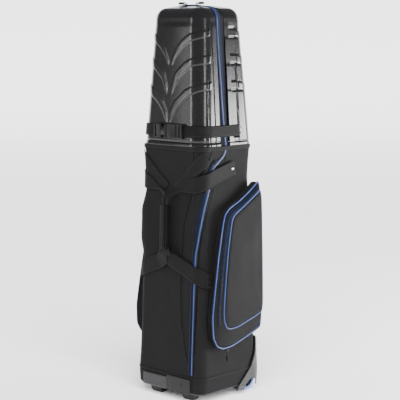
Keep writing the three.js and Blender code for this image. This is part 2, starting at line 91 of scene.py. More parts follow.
def top_half(z):
    loss = TOP_TAPER * (np.minimum(z, CROWN_START) - RIM)
    angle = np.arcsin(np.clip((z - CROWN_START) / CROWN_RADIUS, 0, 1))
    inset = CROWN_RADIUS * (1 - np.cos(angle))
    return TOP_HALF_WIDTH - loss - inset, TOP_HALF_DEPTH - loss - inset, np.maximum(TOP_CORNER - inset, 24)


def on_form(form, s, z, out=0.0):
    """Points and outward directions, at distance s round a form from its front middle and height z."""
    s, z, out = np.broadcast_arrays(np.asarray(s, float), np.asarray(z, float), np.asarray(out, float))
    w, d, r = form(z)
    cx, cy, arc = w - r, d - r, r * math.pi / 2
    side, a = np.where(s < 0, -1.0, 1.0), np.abs(s)
    front, first = a <= cx, a <= cx + arc
    flank, second = a <= cx + arc + 2 * cy, a <= cx + 2 * arc + 2 * cy
    t1 = np.clip((a - cx) / r, 0, math.pi / 2)
    t2 = np.clip((a - cx - arc - 2 * cy) / r, 0, math.pi / 2) + math.pi / 2
    t = np.select([front, first, flank, second], [0 * a, t1, 0 * a + math.pi / 2, t2], math.pi)
    nx, ny = side * np.sin(t), -np.cos(t)
    x = np.select([front, first, flank, second], [a, cx + r * np.sin(t), w, cx + r * np.sin(t)], 0)
    x = np.where(~second, cx - (a - cx - 2 * arc - 2 * cy), x) * side
    y = np.select(
        [front, first, flank, second], [-d, -cy - r * np.cos(t), a - cx - arc - cy, cy - r * np.cos(t)], 0
    )
    y = np.where(~second, d, y)
    points = np.stack([x + nx * out, y + ny * out, z], -1)
    return points, np.stack([nx, ny, 0 * nx], -1)


def flank_start(form, z):
    """Distance round a form to where y = 0 on its right side."""
    w, d, r = form(np.asarray(z, float))
    return (w - r) + r * math.pi / 2 + (d - r)


def curve_through(points, count):
    """A smooth line of `count` points through the given ones, evenly spaced."""
    p = np.array(points, float)
    p = np.vstack([2 * p[0] - p[1], p, 2 * p[-1] - p[-2]])
    fine = []
    for i in range(1, len(p) - 2):
        for t in np.linspace(0, 1, 24, endpoint=False):
            fine.append(
                0.5
                * (
                    2 * p[i]
                    + (p[i + 1] - p[i - 1]) * t
                    + (2 * p[i - 1] - 5 * p[i] + 4 * p[i + 1] - p[i + 2]) * t**2
                    + (3 * p[i] - p[i - 1] - 3 * p[i + 1] + p[i + 2]) * t**3
                )
            )
    fine = np.array(fine + [p[-2]])
    length = np.r_[0, np.cumsum(np.linalg.norm(np.diff(fine, axis=0), axis=1))]
    return np.stack(
        [np.interp(np.linspace(0, length[-1], count), length, fine[:, k]) for k in range(p.shape[1])], 1
    )


def smooth(x, low, high):
    t = np.clip((x - low) / (high - low), 0, 1)
    return t * t * (3 - 2 * t)


def ripple(points, scale, seed=0.0):
    """Soft unevenness between -1 and 1 over points in millimetres."""
    flat = points.reshape(-1, 3) / scale + seed
    return np.array([noise.noise(Vector(p)) for p in flat]).reshape(points.shape[:-1])


# ---- Making meshes ----
PLAN = {}  # the body that each piece rides on, and the nodes that it stands for


def piece(name, points, polygons, finish, body="bag", stands_for=(), uv=None):
    mesh = bpy.data.meshes.new(name)
    mesh.from_pydata([tuple(p) for p in metres(points)], [], [tuple(int(i) for i in f) for f in polygons])
    if uv is not None:
        layer = mesh.uv_layers.new(name="UVMap")
        loops = np.zeros(len(mesh.loops), int)
        mesh.loops.foreach_get("vertex_index", loops)
        layer.data.foreach_set("uv", (np.asarray(uv, float)[loops] / 1000).astype(np.float32).ravel())
    mesh.validate()
    mesh.polygons.foreach_set("use_smooth", [True] * len(mesh.polygons))
    obj = bpy.data.objects.new(name.replace(" ", "-"), mesh)
    bpy.context.scene.collection.objects.link(obj)
    obj.data.materials.append(finish)
    PLAN[obj.name] = (body, list(stands_for))
    return obj


def plain(obj):
    """Applies the modifiers, so that the piece is one mesh."""
    bpy.context.view_layer.update()
    graph = bpy.context.evaluated_depsgraph_get()
    mesh = bpy.data.meshes.new_from_object(
        obj.evaluated_get(graph), preserve_all_data_layers=True, depsgraph=graph
    )
    obj.modifiers.clear()
    obj.data = mesh
    return obj


def settle(obj, body=None):
    """Puts a finished piece on its body, in place of the frame's nodes that it stands for."""
    planned, nodes = PLAN.pop(obj.name)
    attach(obj, body or planned)
    if nodes:
        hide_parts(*nodes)
    return obj


def quads(rows, columns, wrap=False):
    i, j = np.meshgrid(np.arange(rows - 1), np.arange(columns if wrap else columns - 1), indexing="ij")
    k = (j + 1) % columns
    return np.stack(
        [i * columns + j, i * columns + k, (i + 1) * columns + k, (i + 1) * columns + j], -1
    ).reshape(-1, 4)


def grid_uv(points):
    across = np.r_[0, np.cumsum(np.linalg.norm(np.diff(points.mean(0), axis=0), axis=1))]
    along = np.r_[0, np.cumsum(np.linalg.norm(np.diff(points.mean(1), axis=0), axis=1))]
    return np.stack(np.broadcast_arrays(across[None, :], along[:, None]), -1).reshape(-1, 2)


def skin(name, points, finish, thick=3.0, body="bag", stands_for=(), hold=False):
    """A sheet of real thickness from a grid of points, rows upwards and columns anticlockwise."""
    rows, columns = points.shape[:2]
    obj = piece(name, points.reshape(-1, 3), quads(rows, columns), finish, body, stands_for, grid_uv(points))
    wall = obj.modifiers.new("wall", "SOLIDIFY")
    wall.thickness, wall.offset = thick / 1000, -1
    plain(obj)
    return obj if hold else settle(obj)


def sweep(name, path, side, up, section, finish, body="bag", stands_for=(), closed=False, hold=False):
    """A solid swept along a path. The section is a closed loop of (along side, along up) points."""
    path, side, up, section = (np.asarray(v, float) for v in (path, side, up, section))
    rings = path[:, None] + section[None, :, :1] * side[:, None] + section[None, :, 1:] * up[:, None]
    count, ring = rings.shape[:2]
    points = rings.reshape(-1, 3)
    polygons = [list(f) for f in quads(count, ring, wrap=True)]
    if closed:
        last = (count - 1) * ring
        polygons += [[last + j, last + (j + 1) % ring, (j + 1) % ring, j] for j in range(ring)]
    else:
        polygons += [list(range(ring))[::-1], list(range((count - 1) * ring, count * ring))]
    run = np.r_[0, np.cumsum(np.linalg.norm(np.diff(path, axis=0), axis=1))]
    uv = np.stack(np.broadcast_arrays(section[None, :, 0], run[:, None]), -1).reshape(-1, 2)
    obj = piece(name, points, polygons, finish, body, stands_for, uv)
    outward(obj)
    return obj if hold else settle(obj)


def outward(obj):
    shape = bmesh.new()
    shape.from_mesh(obj.data)
    bmesh.ops.recalc_face_normals(shape, faces=shape.faces)
    shape.to_mesh(obj.data)
    shape.free()
    return obj


def frames(path, up):
    """Directions across a path, from its own line and the way its face looks."""
    run = np.gradient(np.asarray(path, float), axis=0)
    run /= np.linalg.norm(run, axis=1)[:, None]
    side = np.cross(run, up)
    return side / np.linalg.norm(side, axis=1)[:, None]


def round_section(radius, count=10):
    t = np.linspace(0, 2 * math.pi, count, endpoint=False)
    return np.stack([radius * np.cos(t), radius * np.sin(t)], 1)


def soft_bar(width, height, edge=None, steps=3):
    """A flat section with rounded edges, its middle at the origin."""
    edge = min(width, height) / 2 if edge is None else edge
    loop = []
    for cx, cy, start in ((1, 1, 0), (-1, 1, 90), (-1, -1, 180), (1, -1, 270)):
        for t in np.radians(np.linspace(start, start + 90, steps + 1)):
            loop.append(
                (cx * (width / 2 - edge) + edge * math.cos(t), cy * (height / 2 - edge) + edge * math.sin(t))
            )
    return loop


def rounded_block(name, low, high, edge, finish, body="bag", stands_for=(), hold=False, segments=3):
    """A block with rounded edges between two corners."""
    low, high = np.array(low, float), np.array(high, float)
    shape = bmesh.new()
    bmesh.ops.create_cube(shape, size=1)
    for v in shape.verts:
        v.co = Vector(metres((low + high) / 2 + np.array(v.co) * (high - low)))
    bmesh.ops.bevel(
        shape, geom=shape.edges[:], offset=edge / 1000, segments=segments, profile=0.6, affect="EDGES",
        clamp_overlap=True
    )
    mesh = bpy.data.meshes.new(name)
    shape.to_mesh(mesh)
    shape.free()
    mesh.polygons.foreach_set("use_smooth", [True] * len(mesh.polygons))
    obj = bpy.data.objects.new(name.replace(" ", "-"), mesh)
    bpy.context.scene.collection.objects.link(obj)
    obj.data.materials.append(finish)
    PLAN[obj.name] = (body, list(stands_for))
    return obj if hold else settle(obj)


def joined(name, pieces, stands_for=(), body=None):
    """Several finished pieces as one, on one body, with their own finishes kept."""
    first = pieces[0]
    planned = [PLAN.pop(p.name) for p in pieces][0][0]
    with bpy.context.temp_override(
        active_object=first, selected_objects=pieces, selected_editable_objects=pieces
    ):
        bpy.ops.object.join()
    first.name = first.data.name = name.replace(" ", "-")
    PLAN[first.name] = (body or planned, list(stands_for))
    return settle(first)


def cut_from(obj, others):
    for other in others:
        tool = obj.modifiers.new("cut", "BOOLEAN")
        tool.operation, tool.solver, tool.object = "DIFFERENCE", "EXACT", other
        plain(obj)
        bpy.data.objects.remove(other)
    return obj


def turned(name, profile, centre, axis, finish, body="bag", stands_for=(), segments=48, hold=False):
    """A closed ring or disc about an axle, from (radius, offset along the axle) points."""
    centre, axis = np.array(centre, float), np.array(axis, float)
    one = np.cross(axis, [0, 0, 1] if abs(axis[2]) < 0.9 else [1, 0, 0])
    one /= np.linalg.norm(one)
    two = np.cross(axis, one)
    angles = np.linspace(0, 2 * math.pi, segments, endpoint=False)
    rings = [
        [centre + r * (one * math.cos(t) + two * math.sin(t)) + axis * h for t in angles] for r, h in profile
    ]
    solid = profile[0][0] < 0.01
    points = np.array(rings).reshape(-1, 3)
    polygons = [list(f) for f in quads(len(profile), segments, wrap=True)]
    if not solid:
        last = (len(profile) - 1) * segments
        polygons += [[last + j, last + (j + 1) % segments, (j + 1) % segments, j] for j in range(segments)]
    obj = piece(name, points, polygons, finish, body, stands_for)
    shape = bmesh.new()
    shape.from_mesh(obj.data)
    bmesh.ops.remove_doubles(shape, verts=shape.verts, dist=1e-6)
    bmesh.ops.recalc_face_normals(shape, faces=shape.faces)
    shape.to_mesh(obj.data)
    shape.free()
    soften = obj.modifiers.new("edges", "BEVEL")
    soften.width, soften.segments, soften.limit_method, soften.angle_limit = 0.0008, 2, "ANGLE", math.radians(
        40
    )
    plain(obj)
    obj.data.polygons.foreach_set("use_smooth", [True] * len(obj.data.polygons))
    return obj if hold else settle(obj)


# ---- Finishes ----
class Finish:
    """A procedural finish: a Principled shader with helpers for its patterns."""

    def __init__(self, name, colour, roughness, **constants):
        self.material = bpy.data.materials.new(name)
        self.material.use_nodes = True
        self.nodes, self.links = self.material.node_tree.nodes, self.material.node_tree.links
        self.shader = self.nodes["Principled BSDF"]
        self.shader.inputs["Base Color"].default_value = (*colour, 1)
        self.shader.inputs["Roughness"].default_value = roughness
        for socket, value in constants.items():
            self.shader.inputs[socket.replace("_", " ")].default_value = value
        self.colour = colour
        self.height = None

    def place(self, source="Object"):
        return self.nodes.new("ShaderNodeTexCoord").outputs[source]

    def noise(self, vector, scale, detail=3.0, rough=0.5):
        node = self.nodes.new("ShaderNodeTexNoise")
        node.inputs["Scale"].default_value = scale
        node.inputs["Detail"].default_value = detail
        node.inputs["Roughness"].default_value = rough
        self.links.new(vector, node.inputs["Vector"])
        return node.outputs["Fac"]

    def wave(self, vector, pitch, direction="X"):
        node = self.nodes.new("ShaderNodeTexWave")
        node.bands_direction, node.wave_profile = direction, "SIN"
        node.inputs["Scale"].default_value = 0.314 / pitch
        self.links.new(vector, node.inputs["Vector"])
        return node.outputs["Fac"]

    def maths(self, kind, *values):
        node = self.nodes.new("ShaderNodeMath")
        node.operation = kind
        for k, value in enumerate(values):
            if isinstance(value, (int, float)):
                node.inputs[k].default_value = value
            else:
                self.links.new(value, node.inputs[k])
        return node.outputs[0]

    def shade(self, fac, low, high):
        """Colour from low to high times the base, by a factor."""
        ramp = self.nodes.new("ShaderNodeValToRGB")
        ramp.color_ramp.elements[0].color = (*[c * low for c in self.colour], 1)
        ramp.color_ramp.elements[1].color = (*[c * high for c in self.colour], 1)
        self.links.new(fac, ramp.inputs["Fac"])
        self.links.new(ramp.outputs["Color"], self.shader.inputs["Base Color"])

    def dull(self, fac, low, high):
        span = self.nodes.new("ShaderNodeMapRange")
        span.inputs["To Min"].default_value, span.inputs["To Max"].default_value = low, high
        self.links.new(fac, span.inputs["Value"])
        self.links.new(span.outputs["Result"], self.shader.inputs["Roughness"])

    def relief(self, fac, depth, strength=1.0):
        bump = self.nodes.new("ShaderNodeBump")
        bump.inputs["Strength"].default_value = strength
        bump.inputs["Distance"].default_value = depth
        self.links.new(fac, bump.inputs["Height"])
        if self.height:
            self.links.new(self.height, bump.inputs["Normal"])
        self.height = bump.outputs["Normal"]
        self.links.new(self.height, self.shader.inputs["Normal"])


def woven_cloth(name, colour, roughness=0.82, pitch=0.0016, sheen=0.015, depth=0.00025, patches=0.25):
    finish = Finish(name, colour, roughness, Sheen_Weight=sheen, Sheen_Roughness=0.4, Specular_IOR_Level=0.14)
    warp = finish.wave(finish.place("UV"), pitch, "X")
    weft = finish.wave(finish.place("UV"), pitch, "Y")
    weave = finish.maths("MULTIPLY", warp, weft)
    cloudy = finish.noise(finish.place(), 9, 4, 0.6)
    finish.shade(
        finish.maths("ADD", finish.maths("MULTIPLY", weave, 0.3), cloudy), 1 - patches, 1 + 3 * patches
    )
    finish.dull(cloudy, roughness - 0.12, roughness + 0.1)
    finish.relief(cloudy, 0.003, 0.25)
    finish.relief(weave, depth, 0.7)
    return finish.material


def ribbed_webbing(name, colour, rib=0.0031):
    finish = Finish(name, colour, 0.7, Sheen_Weight=0.015, Sheen_Roughness=0.35, Specular_IOR_Level=0.16)
    ribs = finish.wave(finish.place("UV"), rib, "X")
    picks = finish.wave(finish.place("UV"), 0.0014, "Y")
    finish.shade(
        finish.maths("ADD", finish.maths("MULTIPLY", ribs, 0.6), finish.maths("MULTIPLY", picks, 0.4)), 0.7,
        1.5
    )
    finish.relief(ribs, 0.0004, 0.8)
    finish.relief(picks, 0.0002, 0.6)
    return finish.material


def moulded(name, colour, roughness=0.45, grain=900, depth=0.00012, **constants):
    finish = Finish(name, colour, roughness, **constants)
    fine = finish.noise(finish.place(), grain, 2, 0.6)
    broad = finish.noise(finish.place(), 14, 3, 0.5)
    finish.shade(broad, 0.85, 1.25)
    finish.dull(broad, max(roughness - 0.05, 0.03), roughness + 0.08)
    finish.relief(fine, depth, 0.6)
    return finish.material


def polished_shell():
    finish = Finish(
        "polished shell", (0.0045, 0.0045, 0.0048), 0.24, IOR=1.4, Coat_Weight=0.15, Coat_Roughness=0.14
    )
    cells = finish.nodes.new("ShaderNodeTexVoronoi")
    cells.feature = "SMOOTH_F1"
    cells.inputs["Scale"].default_value = 420
    finish.links.new(finish.place(), cells.inputs["Vector"])
    broad = finish.noise(finish.place(), 5, 3, 0.5)
    finish.dull(broad, 0.2, 0.28)
    finish.relief(broad, 0.004, 0.12)
    finish.relief(cells.outputs["Distance"], 0.0006, 0.1)
    return finish.material


def nickel():
    finish = Finish("nickel plate", (0.62, 0.62, 0.6), 0.24, Metallic=1.0)
    worn = finish.noise(finish.place(), 600, 3, 0.6)
    finish.shade(worn, 0.75, 1.1)
    finish.dull(worn, 0.16, 0.36)
    finish.relief(worn, 0.00005, 0.4)
    return finish.material


BODY_CLOTH = woven_cloth("charcoal body cloth", (0.0039, 0.0039, 0.0042))
LID_CLOTH = woven_cloth("pocket lid cloth", (0.0047, 0.0047, 0.005), 0.8, patches=0.18)
GUSSET_CLOTH = woven_cloth("navy gusset cloth", (0.0018, 0.0026, 0.0052), 0.78, sheen=0.01)
ZIP_TAPE = woven_cloth("navy zip tape", (0.0017, 0.0036, 0.011), 0.7, pitch=0.0011, sheen=0.015)
WEBBING = ribbed_webbing("black webbing", (0.0028, 0.0028, 0.003))
BINDING = ribbed_webbing("black binding tape", (0.004, 0.004, 0.0043), 0.0022)
# Near-black cloth: the real colour of the pocket pull ends, and painted shade where it lines the seam creases
# and the grip's right half.
NEAR_BLACK_AND_PAINTED_SHADE = woven_cloth(
    "near black tape and painted shade", (0.0012, 0.0012, 0.0013), 0.95, pitch=0.0024, sheen=0.0, patches=0.6
)
GRIP_CLOTH = woven_cloth("grip wrap", (0.0055, 0.0055, 0.0058), 0.75)
SHELL = polished_shell()
BLUE = moulded("blue piping", (0.012, 0.033, 0.14), 0.42, 500, 0.0001, Coat_Weight=0.1)
BLUE_EDGE = moulded("piping flange", (0.0022, 0.0055, 0.022), 0.6, 500, 0.0001)
BLACK_PLASTIC = moulded("black moulding", (0.0032, 0.0032, 0.0034), 0.48, Specular_IOR_Level=0.3)
GUARD_PLASTIC = moulded("wheel guard", (0.0052, 0.0052, 0.0055), 0.45)
# The kick plate's light grey is partly its own grey and partly painted light, for the reflection that its
# left half catches.
KICK_PLATE_GREY_AND_LIT = moulded("kick plate grey and painted light", (0.015, 0.015, 0.016), 0.42)
BLUE_TYRE = moulded("blue urethane", (0.05, 0.15, 0.55), 0.32, 300, 0.0002, Subsurface_Weight=0.08)
THREAD = moulded("black thread", (0.0075, 0.0075, 0.0078), 0.6, 1500, 0.0001)
FOAM = moulded("grey foam", (0.05, 0.05, 0.055), 0.9, 300, 0.0008)
NICKEL = nickel()


# ---- Rows of stitches and teeth ----
def repeat_tree(name, small):
    """Nodes that set copies of a small shape along a line, each turned to follow it."""
    tree = bpy.data.node_groups.new(name, "GeometryNodeTree")
    for label, kind, way in (
        ("Line", "Geometry", "INPUT"), ("Spacing", "Float", "INPUT"), ("Geometry", "Geometry", "OUTPUT")
    ):
        tree.interface.new_socket(label, in_out=way, socket_type=f"NodeSocket{kind}")
    tree.interface.new_socket("Finish", in_out="INPUT", socket_type="NodeSocketMaterial")
    nodes, links = tree.nodes, tree.links
    given, made = nodes.new("NodeGroupInput"), nodes.new("NodeGroupOutput")
    curve, even = nodes.new("GeometryNodeMeshToCurve"), nodes.new("GeometryNodeResampleCurve")
    even.mode = "LENGTH"
    shape, put = nodes.new("GeometryNodeObjectInfo"), nodes.new("GeometryNodeInstanceOnPoints")
    shape.inputs["Object"].default_value = small
    heading, turn = nodes.new("GeometryNodeInputTangent"), nodes.new("FunctionNodeAlignRotationToVector")
    turn.axis = "X"
    real, paint = nodes.new("GeometryNodeRealizeInstances"), nodes.new("GeometryNodeSetMaterial")
    links.new(given.outputs["Line"], curve.inputs["Mesh"])
    links.new(curve.outputs["Curve"], even.inputs["Curve"])
    links.new(given.outputs["Spacing"], even.inputs["Length"])
    links.new(even.outputs["Curve"], put.inputs["Points"])
    links.new(shape.outputs["Geometry"], put.inputs["Instance"])
    links.new(heading.outputs["Tangent"], turn.inputs["Vector"])
    links.new(turn.outputs["Rotation"], put.inputs["Rotation"])
    links.new(put.outputs["Instances"], real.inputs["Geometry"])
    links.new(real.outputs["Geometry"], paint.inputs["Geometry"])
    links.new(given.outputs["Finish"], paint.inputs["Material"])
    links.new(paint.outputs["Geometry"], made.inputs["Geometry"])
    return tree


def small_shape(name, length, width, height):
    """A pointed-ended bar for a stitch or a tooth, in metres, along X."""
    shape = bmesh.new()
    bmesh.ops.create_uvsphere(shape, u_segments=6, v_segments=4, radius=0.5)
    for v in shape.verts:
        v.co = Vector((v.co.z * length, v.co.x * width, v.co.y * height))
    mesh = bpy.data.meshes.new(name)
    shape.to_mesh(mesh)
    shape.free()
    obj = bpy.data.objects.new(name.replace(" ", "-"), mesh)
    bpy.context.scene.collection.objects.link(obj)
    obj.hide_render = True
    return obj


STITCH = small_shape("stitch", 0.0034, 0.0011, 0.0011)
TOOTH = small_shape("zip tooth", 0.0016, 0.0052, 0.0024)
STITCHES, TEETH = repeat_tree("row of stitches", STITCH), repeat_tree("row of teeth", TOOTH)


def row(name, lines, tree, spacing, finish, body="bag", hold=False):
    points, edges = [], []
    for line in lines:
        start = len(points)
        points += [tuple(p) for p in metres(line)]
        edges += [(start + k, start + k + 1) for k in range(len(line) - 1)]
    mesh = bpy.data.meshes.new(name)
    mesh.from_pydata(points, edges, [])
    obj = bpy.data.objects.new(name.replace(" ", "-"), mesh)
    bpy.context.scene.collection.objects.link(obj)
    nodes = obj.modifiers.new("row", "NODES")
    nodes.node_group = tree
    for item in tree.interface.items_tree:
        if item.name == "Spacing":
            nodes[item.identifier] = spacing / 1000
        if item.name == "Finish":
            nodes[item.identifier] = finish
    plain(obj)
    obj.data.polygons.foreach_set("use_smooth", [True] * len(obj.data.polygons))
    PLAN[obj.name] = (body, [])
    return obj if hold else settle(obj)


# ---- Cloth body ----
# Seams as (height, distance round from the front middle).
WAIST_SEAM = np.array(
    [
        [99, 106], [126, 99], [166, 84], [252, 62], [334, 54], [426, 53], [483, 56], [588, 63], [683, 92],
        [746, 126], [830, 178]
    ]
)
FLAP_SEAM = np.array([[99, 121], [176, 121], [420, 125], [540, 131], [607, 145], [707, 178], [790, 232]])
PIPING = [
    [112, 93], [113, 300], [116, 470], [122, 520], [131, 581], [143, 650], [158, 707], [176, 764],
    [202, 786], [225, 804],
    [235, 820], [237, 834],
]


def seam_dip(s, z, line, depth=2.3, width=2.1):
    at = np.interp(z, line[:, 0], line[:, 1])
    slope = np.interp(z, line[:, 0], np.gradient(line[:, 1], line[:, 0]))
    gap = np.abs(s - at) / np.sqrt(1 + slope**2)
    within = smooth(z, line[0, 0] - 4, line[0, 0] + 4)
    return within * (0.45 * depth * np.exp(-(((gap - 6) / 4) ** 2)) - depth * np.exp(-((gap / width) ** 2)))


def cloth_relief(s, z, points):
    slack = smooth(z, 60, 160) * (1 - smooth(z, 800, 834))
    out = slack * (2.2 * ripple(points, 170, 3.1) + 1.1 * ripple(points * [1, 1, 0.45], 60, 7.7) - 0.9)
    out += 0.25 * ripple(points, 18, 1.3)
    for drop, low in ((0.8, 690), (0.6, 470)):
        out += drop * np.exp(-(((z - low) / 60) ** 2)) * ripple(points * [0.5, 0.5, 1.6], 42, 5.5)
    out += seam_dip(s, z, WAIST_SEAM) + seam_dip(s, z, FLAP_SEAM, 1.7)
    out += 13 * np.exp(-(((s + 128) / 42) ** 2)) * smooth(z, 445, 530) * (1 - smooth(z, 610, 685))
    out -= 1.1 * np.exp(-(((z - 828) / 2.2) ** 2)) + 1.2 * np.exp(-(((z - 84) / 2.2) ** 2))
    return out


def stations(z):
    w, d, r = body_half(z)
    cx, cy, arc = w - r, d - r, r * math.pi / 2
    return {
        "left": -(cx + 0.4 * arc), "right": cx, "back_right": cx + 1.4 * arc + 2 * cy,
        "around": 2 * cx + 2 * arc + 2 * cy
    }


def wheel_bay(k):
    """The corner that the wheel's moulding takes out of the cloth, a little inside the moulding's edge."""
    outline = [(44, -20), (44, 26), (108, 88), (122, 112), (190, 112), (190, -20)]
    points = [(k * x, y, z) for x in (99.7, 190) for y, z in outline]
    sides = [[i, (i + 1) % 6, 6 + (i + 1) % 6, 6 + i] for i in range(6)]
    obj = outward(piece("bay", points, [list(range(6)), list(range(6, 12)), *sides], BODY_CLOTH))
    PLAN.pop(obj.name)
    return obj


def cloth_panel(name, start, end, pitch, wheel_cut=()):
    z = np.arange(BODY[0, 0] + 6.2, BODY_TOP, pitch)
    z = np.r_[z, BODY_TOP]
    low, high = start(stations(z)) + 0.3, end(stations(z)) - 0.3
    columns = int((high - low).max() / pitch) + 1
    s = low[:, None] + (high - low)[:, None] * np.linspace(0, 1, columns)[None]
    height = np.repeat(z[:, None], columns, 1)
    bare, _ = on_form(body_half, s, height)
    out = cloth_relief(s, height, bare)
    edge = np.minimum(s - low[:, None], high[:, None] - s)
    out -= 1.4 * np.exp(-((edge / 2.4) ** 2))
    points, _ = on_form(body_half, s, height, out)
    obj = skin(name.replace("_", " "), points, BODY_CLOTH, 4, "bag", [name], hold=bool(wheel_cut))
    if wheel_cut:
        bays = [wheel_bay(k) for k in wheel_cut]
        settle(cut_from(obj, bays))


cloth_panel("front_panel", lambda at: at["left"], lambda at: at["right"], 3.2)
cloth_panel("side_panel_right", lambda at: at["right"], lambda at: at["back_right"], 3.6, [1])
cloth_panel("side_panel_left", lambda at: -at["back_right"], lambda at: at["left"], 4.2, [-1])


def back_panel():
    z = np.r_[np.arange(BODY[0, 0] + 6.2, BODY_TOP, 4.5), BODY_TOP]
    at = stations(z)
    low, high = at["back_right"] + 0.3, 2 * at["around"] - at["back_right"] - 0.3
    columns = int((high - low).max() / 4.5) + 1
    s = low[:, None] + (high - low)[:, None] * np.linspace(0, 1, columns)[None]
    wrapped = np.where(s > at["around"][:, None], s - 2 * at["around"][:, None], s)
    height = np.repeat(z[:, None], columns, 1)
    bare, _ = on_form(body_half, wrapped, height)
    edge = np.minimum(s - low[:, None], high[:, None] - s)
    out = cloth_relief(s + 900, height, bare) - 1.4 * np.exp(-((edge / 2.4) ** 2))
    points, _ = on_form(body_half, wrapped, height, out)
    obj = skin("back panel", points, BODY_CLOTH, 4, "bag", ["back_panel"], hold=True)
    bays = [wheel_bay(1), wheel_bay(-1)]
    settle(cut_from(obj, bays))


back_panel()


def around(z, out):
    """A closed level line round the body, and its outward directions."""
    w, d, r = (float(v) for v in body_half(np.array(float(z))))
    whole = 2 * (2 * (w - r) + r * math.pi + 2 * (d - r))
    return on_form(body_half, np.linspace(-whole / 2, whole / 2, 240, endpoint=False), z, out)


def band_round(name, low, high, lift, thick, finish, stands_for=()):
    """A tape sewn level round the body, with rounded edges."""
    path, out = around((low + high) / 2, lift + thick / 2)
    up = np.repeat([[0.0, 0, 1]], len(path), 0)
    return sweep(name, path, up, out, soft_bar(high - low, thick), finish, "bag", stands_for, closed=True)


band_round("neck binding", 823, 835, 0.5, 2.0, BINDING, ["neck_binding"])
row(
    "neck stitching", [np.vstack([around(z, 2.6)[0], around(z, 2.6)[0][:1]]) for z in (825, 833)], STITCHES,
    4.2, THREAD
)
band_round("foot binding", 79, 85, 0.2, 1.4, BINDING)


def lay(route, count):
    """Points and outward directions along a (distance, height, lift) route on the body."""
    line = curve_through(route, count)
    lift = line[:, 2] if line.shape[1] > 2 else 0.0
    points, out = on_form(body_half, line[:, 0], line[:, 1], lift)
    return points, out


def cloth_strip(route, count, width, cells):
    """A grid that follows the body under a strip, with the given width at each share of the route."""
    line = curve_through(route, count)
    run = np.gradient(line[:, :2], axis=0)
    run /= np.linalg.norm(run, axis=1)[:, None]
    wide = np.array(
        [width(t) for t in np.linspace(0, 1, count)]
    ) if callable(width) else np.full(count, float(width))
    across = np.linspace(-0.5, 0.5, cells + 1)
    s = line[:, 0][None] - run[:, 1][None] * across[:, None] * wide[None]
    z = line[:, 1][None] + run[:, 0][None] * across[:, None] * wide[None]
    return s, z, np.repeat(line[:, 2][None], cells + 1, 0)


def strip(
    name, route, count, width, thick, finish, body="bag", stands_for=(), cells=10, puff=0.0, hold=False
):
    s, z, lift = cloth_strip(route, count, width, cells)
    crown = puff * (1 - np.linspace(-1, 1, cells + 1)[:, None] ** 2)
    points, _ = on_form(body_half, s, z, lift + thick + crown)
    return skin(name, points, finish, thick, body, stands_for, hold)


def edge_stitches(name, route, count, width, lift, body="bag", inset=3.5, hold=False, spacing=4.5):
    s, z, height = cloth_strip(
        route, count, lambda t: (width(t) if callable(width) else width) - 2 * inset, 1
    )
    points, _ = on_form(body_half, s, z, height + lift)
    return row(name, list(points), STITCHES, spacing, THREAD, body, hold)


def mirror_route(route):
    return [[-p[0], *p[1:]] for p in route]


SIDES = (("right", 1), ("left", -1))

for side, k in SIDES:
    shoulder = [[146, 803, 1.0], [112, 771, 1.0], [75, 735, 1.0], [24, 694, 1.0]]
    shoulder = shoulder if k > 0 else mirror_route(shoulder)[::-1]
    strip(
        f"shoulder band {side}", shoulder, 60, 44, 1.6, BODY_CLOTH, "bag", [f"shoulder_band_{side}"],
        puff=0.5
    )
    edge_stitches(f"shoulder stitching {side}", shoulder, 60, 44, 2.2)
    edge_stitches(f"shoulder second stitching {side}", shoulder, 60, 44, 2.3, inset=8)


# The piping is a cord in its folded cover, sewn along the zip.
PIPING_RADIUS = 1.3
PIPING_FLANGE = 8.5
path, out = lay([[*p, 0.4] for p in PIPING], 220)
side_way, cord = frames(path, out), round_section(PIPING_RADIUS)
sweep("front piping", path + out * PIPING_RADIUS * 0.6, side_way, out, cord, BLUE, "bag", ["front_piping"])
sweep("front piping edge", path + out * 0.3, side_way, out, soft_bar(PIPING_FLANGE, 1.2), BLUE_EDGE)
zip_route = [[p[0] - 9, p[1] + (5 if p[1] > 700 else 0), 0.5] for p in PIPING[:9]]
strip("front zip tape", zip_route, 160, 13, 0.9, ZIP_TAPE, "bag", ["front_zip_chain"], cells=4)
zip_line, _ = lay([[p[0], p[1], 1.9] for p in zip_route], 200)
row("front zip teeth", [zip_line], TEETH, 2.3, BLACK_PLASTIC)
for name, line, offset in (("waist", WAIST_SEAM, 4.5), ("flap", FLAP_SEAM, -4.5)):
    lines = [on_form(body_half, *curve_through([[s + offset, z] for z, s in line], 160).T, 0.9)[0]]
    row(f"{name} seam stitching", lines, STITCHES, 4.4, THREAD)
    # A near-black strip sunk into each seam: painted shade for the shadow in the seam's crease.
    strip(f"{name} seam fold", [[s, z, -1.9] for z, s in line], 160, 3.4, 0.8, NEAR_BLACK_AND_PAINTED_SHADE, cells=2)


# ---- Moulded hard top ----
# Three swept arms a side, one above another: (distance from the middle, height) along the upper
# edge, then along the lower edge.
ARMS = [
    (
        [(6, 1112), (26, 1152), (50, 1178), (80, 1196), (150, 1212)],
        [(6, 1090), (26, 1124), (52, 1152), (80, 1171), (150, 1189)]
    ),
    (
        [(10, 1034), (25, 1074), (64, 1106), (103, 1123), (158, 1130)],
        [(10, 996), (36, 1048), (66, 1076), (92, 1093), (158, 1103)]
    ),
    (
        [(4, 944), (28, 984), (69, 1018), (108, 1034), (166, 1044)],
        [(4, 900), (30, 948), (50, 970), (88, 998), (125, 1013), (166, 1019)]
    ),
]
ARM_HEIGHT = 1.9
ARM_MIDDLE = -12  # the arms of the front shell meet a little to the left


